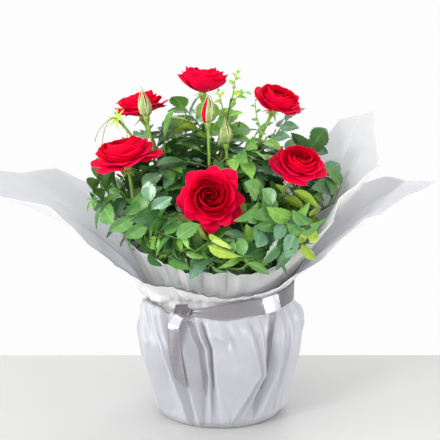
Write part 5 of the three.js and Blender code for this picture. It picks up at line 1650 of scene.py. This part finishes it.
@dataclass
class YoungGrowth:
    """The thin young shoots above the crown and the spent flower's calyx at its upper left."""

    frame: Frame
    foliage: Foliage

    def sprig(self, blades: JoinedMesh, stems: JoinedMesh, line: list[Point], size: float, dice: Dice, tone: Tone) -> None:
        """A thin stem through a few points, with slim leaves in turn up its sides.

        Args:
            blades: The mesh that takes the leaves.
            stems: The mesh that takes the stem.
            line: Where the stem runs.
            size: The length of its longest leaf.
            dice: The dice that vary it.
            tone: Its green.
        """
        points = np.array(line, float)
        marks = np.linspace(0, 1, len(points))
        t = np.linspace(0, 1, 14)
        path = np.stack([np.interp(t, marks, points[:, k]) for k in range(3)], -1)
        path[1:-1] = (path[:-2] + 2 * path[1:-1] + path[2:]) / 4
        stems.add(*tube(path, np.linspace(0.8, 0.35, 14), 6), 1)
        for k in range(3, 14, 2):
            tangent = unit(path[min(k + 1, 13)] - path[k - 1])
            a, b = sideways(tangent)
            turn = k * 1.2 + dice.roll()
            side = a * math.cos(turn) + b * math.sin(turn)
            heading = unit(tangent * 0.7 + side * 0.8)
            face = UP * 0.5 + side * 0.3 - np.array((0, 0.6, 0))
            normal = unit(face - heading * np.dot(face, heading))
            length = size * dice.span(0.6, 1.0) * (1.1 - 0.4 * k / 13)
            leaf = Leaf(path[k], heading, normal, length, 0.0, [Leaflet(0.3, 0, length, 0.0, dice.span(0.8, 2.0), 0.2)], tone, 0.25)
            shape = self.foliage.blade.shape
            flat = leaf.leaflets[0].flat(shape[:, :2] * (1, 0.62), self.foliage.blade.slenderness)
            lift = length * (shape[:, 2] - 0.15 * shape[:, 0] ** 2)
            blades.add(leaf.carry(flat, lift), self.foliage.blade.faces, tone.number + self.foliage.blade.ribs)

    def make(self) -> None:
        """The sprigs and the calyx, each kind one piece."""
        dice = Dice(909)
        blades, stems = JoinedMesh(), JoinedMesh()
        self.sprig(blades, stems, [(10, 6, 284), (12, 5, 292), (13, 5, 302), (15, 5, 308)], 13, dice, Tone.YOUNG)
        self.sprig(blades, stems, [(7, 2, 262), (9, 0, 276), (14, -2, 288), (22, -2, 293)], 15, dice, Tone.FRESH)
        self.sprig(blades, stems, [(6, 4, 266), (2, 0, 280), (0, -4, 288), (-2, -4, 293)], 10, dice, Tone.YOUNG)
        self.sprig(blades, stems, [(34, 14, 242), (36, 8, 258), (32, 6, 272), (31, 5, 284)], 10, dice, Tone.FRESH)
        self.sprig(blades, stems, [(-98, -6, 199), (-108, -12, 200), (-114, -16, 198)], 13, dice, Tone.FRESH)
        centre = np.array((-92.0, 8.0, 268.0))
        foot = np.array((-72.0, 12.0, 236.0))
        curve = Arc(foot, direction((-0.3, 0, 1)), centre, direction((-0.6, -0.2, 0.7)))
        stems.add(*tube(curve.at(np.linspace(0, 1, 16)), np.linspace(1.1, 1.3, 16), 8), 1)
        branch = Arc(np.array((-58.0, 26.0, 232.0)), direction((-0.6, -0.5, 0.3)), foot, direction((-0.3, 0, 1)))
        stems.add(*tube(branch.at(np.linspace(0, 1, 12)), np.linspace(1.2, 1.1, 12), 8), 1)
        facing = direction((-0.5, -0.45, 0.4))
        a, b = sideways(facing)
        for k in range(6):
            turn = k * TAU / 6 + dice.span(-0.15, 0.15)
            out = a * math.cos(turn) + b * math.sin(turn)
            along = unit(out + facing * 0.15)
            points, faces, _ = sepal(centre, along, facing, dice.span(9, 14), 2.1, dice.span(-0.1, 0.3))
            blades.add(points, faces, Tone.YOUNG.number)
        for k in range(3):
            end = centre + np.array((-16 - 5 * k, -4, -34 + 12 * k)) * dice.span(0.85, 1.05) if k < 2 else centre + np.array((10, -6, -24))
            thread = Arc(centre, direction((-0.8 + 0.6 * k, -0.3, 0.2)), end, direction((-0.1, 0, -1)))
            stems.add(*tube(thread.at(np.linspace(0, 1, 16)), np.full(16, 0.35), 5), 1)
        blades.make("young_shoot_leaves", Tone.finishes(), "foliage", ("leaves_top", "leaves_left"))
        stems.make("young_shoot_stems", [CANE_BARK, STALK_SKIN], "foliage", ("leaves_top", "leaves_left"))


# ---------------------------------------------------------------- stage


@dataclass
class Stage:
    """A pale table with its far edge close behind the plant, soft light all round, and the camera."""

    distance: float = 1150.0
    elevation: float = 13.0
    target: float = 177.0
    frame_width: float = 396.0
    table_back: float = 143.0
    room_light: tuple[float, float] = (0.56, 1.0)
    brightest: Point = (-0.55, 0.3, 0.78)

    def floor(self) -> None:
        """The table top, its edge rounded."""
        mesh = bpy.data.meshes.new("table_top")
        back, deep = self.table_back, -2600.0
        profile = [(deep, 0), (back - 1.0, 0), (back - 0.3, -0.3), (back, -1.0), (back, -12.0), (deep, -12.0)]
        corners = [(x, y, z) for x in (-2600.0, 2600.0) for y, z in profile]
        count = len(profile)
        faces = [(k, (k + 1) % count, (k + 1) % count + count, k + count) for k in range(count)]
        faces += [tuple(range(count))[::-1], tuple(range(count, 2 * count))]
        mesh.from_pydata([(x * MM, y * MM, (z - 0.05) * MM) for x, y, z in corners], [], faces)
        mesh.materials.append(Finish("pale_table_top", (0.58, 0.58, 0.57), 0.35, 0.01, 200, grain_size=4, grain_depth=0.02, specular=0.3).material())
        table = bpy.data.objects.new("table_top", mesh)
        bpy.context.scene.collection.objects.link(table)

    def lamp(self, name: str, place: Point, power: float, size: float, colour: Colour = (1, 1, 1)) -> None:
        """A soft square lamp that looks at the middle of the plant."""
        data = bpy.data.lights.new(name, "AREA")
        data.energy, data.size, data.color = power, size, colour
        lamp = bpy.data.objects.new(name, data)
        lamp.location = Vector(place)
        lamp.rotation_euler = (Vector((0, 0, 0.16)) - lamp.location).to_track_quat("-Z", "Y").to_euler()
        bpy.context.scene.collection.objects.link(lamp)

    def light(self) -> None:
        """White surroundings, a key lamp from the upper left, a softbox on each side and a lamp from behind."""
        world = bpy.data.worlds.new("white_room")
        bpy.context.scene.world = world
        world.use_nodes = True
        tree = world.node_tree
        room = tree.nodes["Background"]
        room.inputs["Color"].default_value = (1, 1, 1, 1)
        ways = tree.nodes.new("ShaderNodeTexCoord")
        facing = tree.nodes.new("ShaderNodeVectorMath")
        facing.operation = "DOT_PRODUCT"
        facing.inputs[1].default_value = direction(self.brightest)
        spread = tree.nodes.new("ShaderNodeMapRange")
        for socket, value in zip(("From Min", "From Max", "To Min", "To Max"), (-1.0, 1.0, *self.room_light)):
            spread.inputs[socket].default_value = value
        tree.links.new(ways.outputs["Generated"], facing.inputs[0])
        tree.links.new(facing.outputs["Value"], spread.inputs["Value"])
        tree.links.new(spread.outputs["Result"], room.inputs["Strength"])
        wall = tree.nodes.new("ShaderNodeBackground")
        wall.inputs["Color"].default_value = (0.985, 0.985, 0.985, 1)
        seen = tree.nodes.new("ShaderNodeLightPath")
        mix = tree.nodes.new("ShaderNodeMixShader")
        tree.links.new(seen.outputs["Is Camera Ray"], mix.inputs[0])
        tree.links.new(room.outputs[0], mix.inputs[1])
        tree.links.new(wall.outputs[0], mix.inputs[2])
        tree.links.new(mix.outputs[0], tree.nodes["World Output"].inputs["Surface"])
        bpy.context.scene.view_settings.view_transform = "Standard"
        self.lamp("key", (-0.85, -1.05, 0.95), 11, 0.4)
        self.lamp("front_softbox", (0.15, -1.6, 0.2), 2.5, 0.6)
        self.lamp("left_softbox", (-1.2, -0.3, 0.3), 6, 0.5)
        self.lamp("right_softbox", (1.3, -0.4, 0.12), 9, 0.35)
        self.lamp("back", (0.5, 1.1, 1.0), 5, 0.7)

    def camera(self) -> None:
        """The camera, level with the crown and looking a little down."""
        data = bpy.data.cameras.new("camera")
        data.sensor_width = 36
        data.lens = 36 * self.distance / self.frame_width
        camera = bpy.data.objects.new("camera", data)
        tilt = math.radians(self.elevation)
        place = Vector((0, -self.distance * math.cos(tilt), self.target + self.distance * math.sin(tilt)))
        camera.location = place * MM
        camera.rotation_euler = (Vector((0, 0, self.target)) - place).to_track_quat("-Z", "Y").to_euler()
        bpy.context.scene.collection.objects.link(camera)
        bpy.context.scene.camera = camera

    def make(self) -> None:
        """Camera, table and light."""
        self.camera()
        self.floor()
        self.light()


def main() -> None:
    """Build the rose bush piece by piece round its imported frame."""
    logging.basicConfig(level=logging.INFO, format="%(name)s: %(message)s")
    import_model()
    Stage().make()
    wrap = PaperWrap()
    wrap.make_outer()
    wrap.make_inner()
    Ribbon(wrap).make()
    Pot().make()
    frame = Frame()
    frame.grow()
    Canes(frame).make()
    for number, (flower, seat, facing, curve) in enumerate(frame.stalks):
        Rose(flower, seat, facing, curve, seed=11 + 7 * number).make()
    for number, (bud, base, facing, curve) in enumerate(frame.bud_stalks):
        ClosedBud(bud, base, facing, curve, seed=71 + 5 * number).make()
    foliage = Foliage(frame, Room(frame, wrap))
    foliage.make()
    YoungGrowth(frame, foliage).make()
    bpy.context.view_layer.update()


if __name__ == "__main__":
    main()
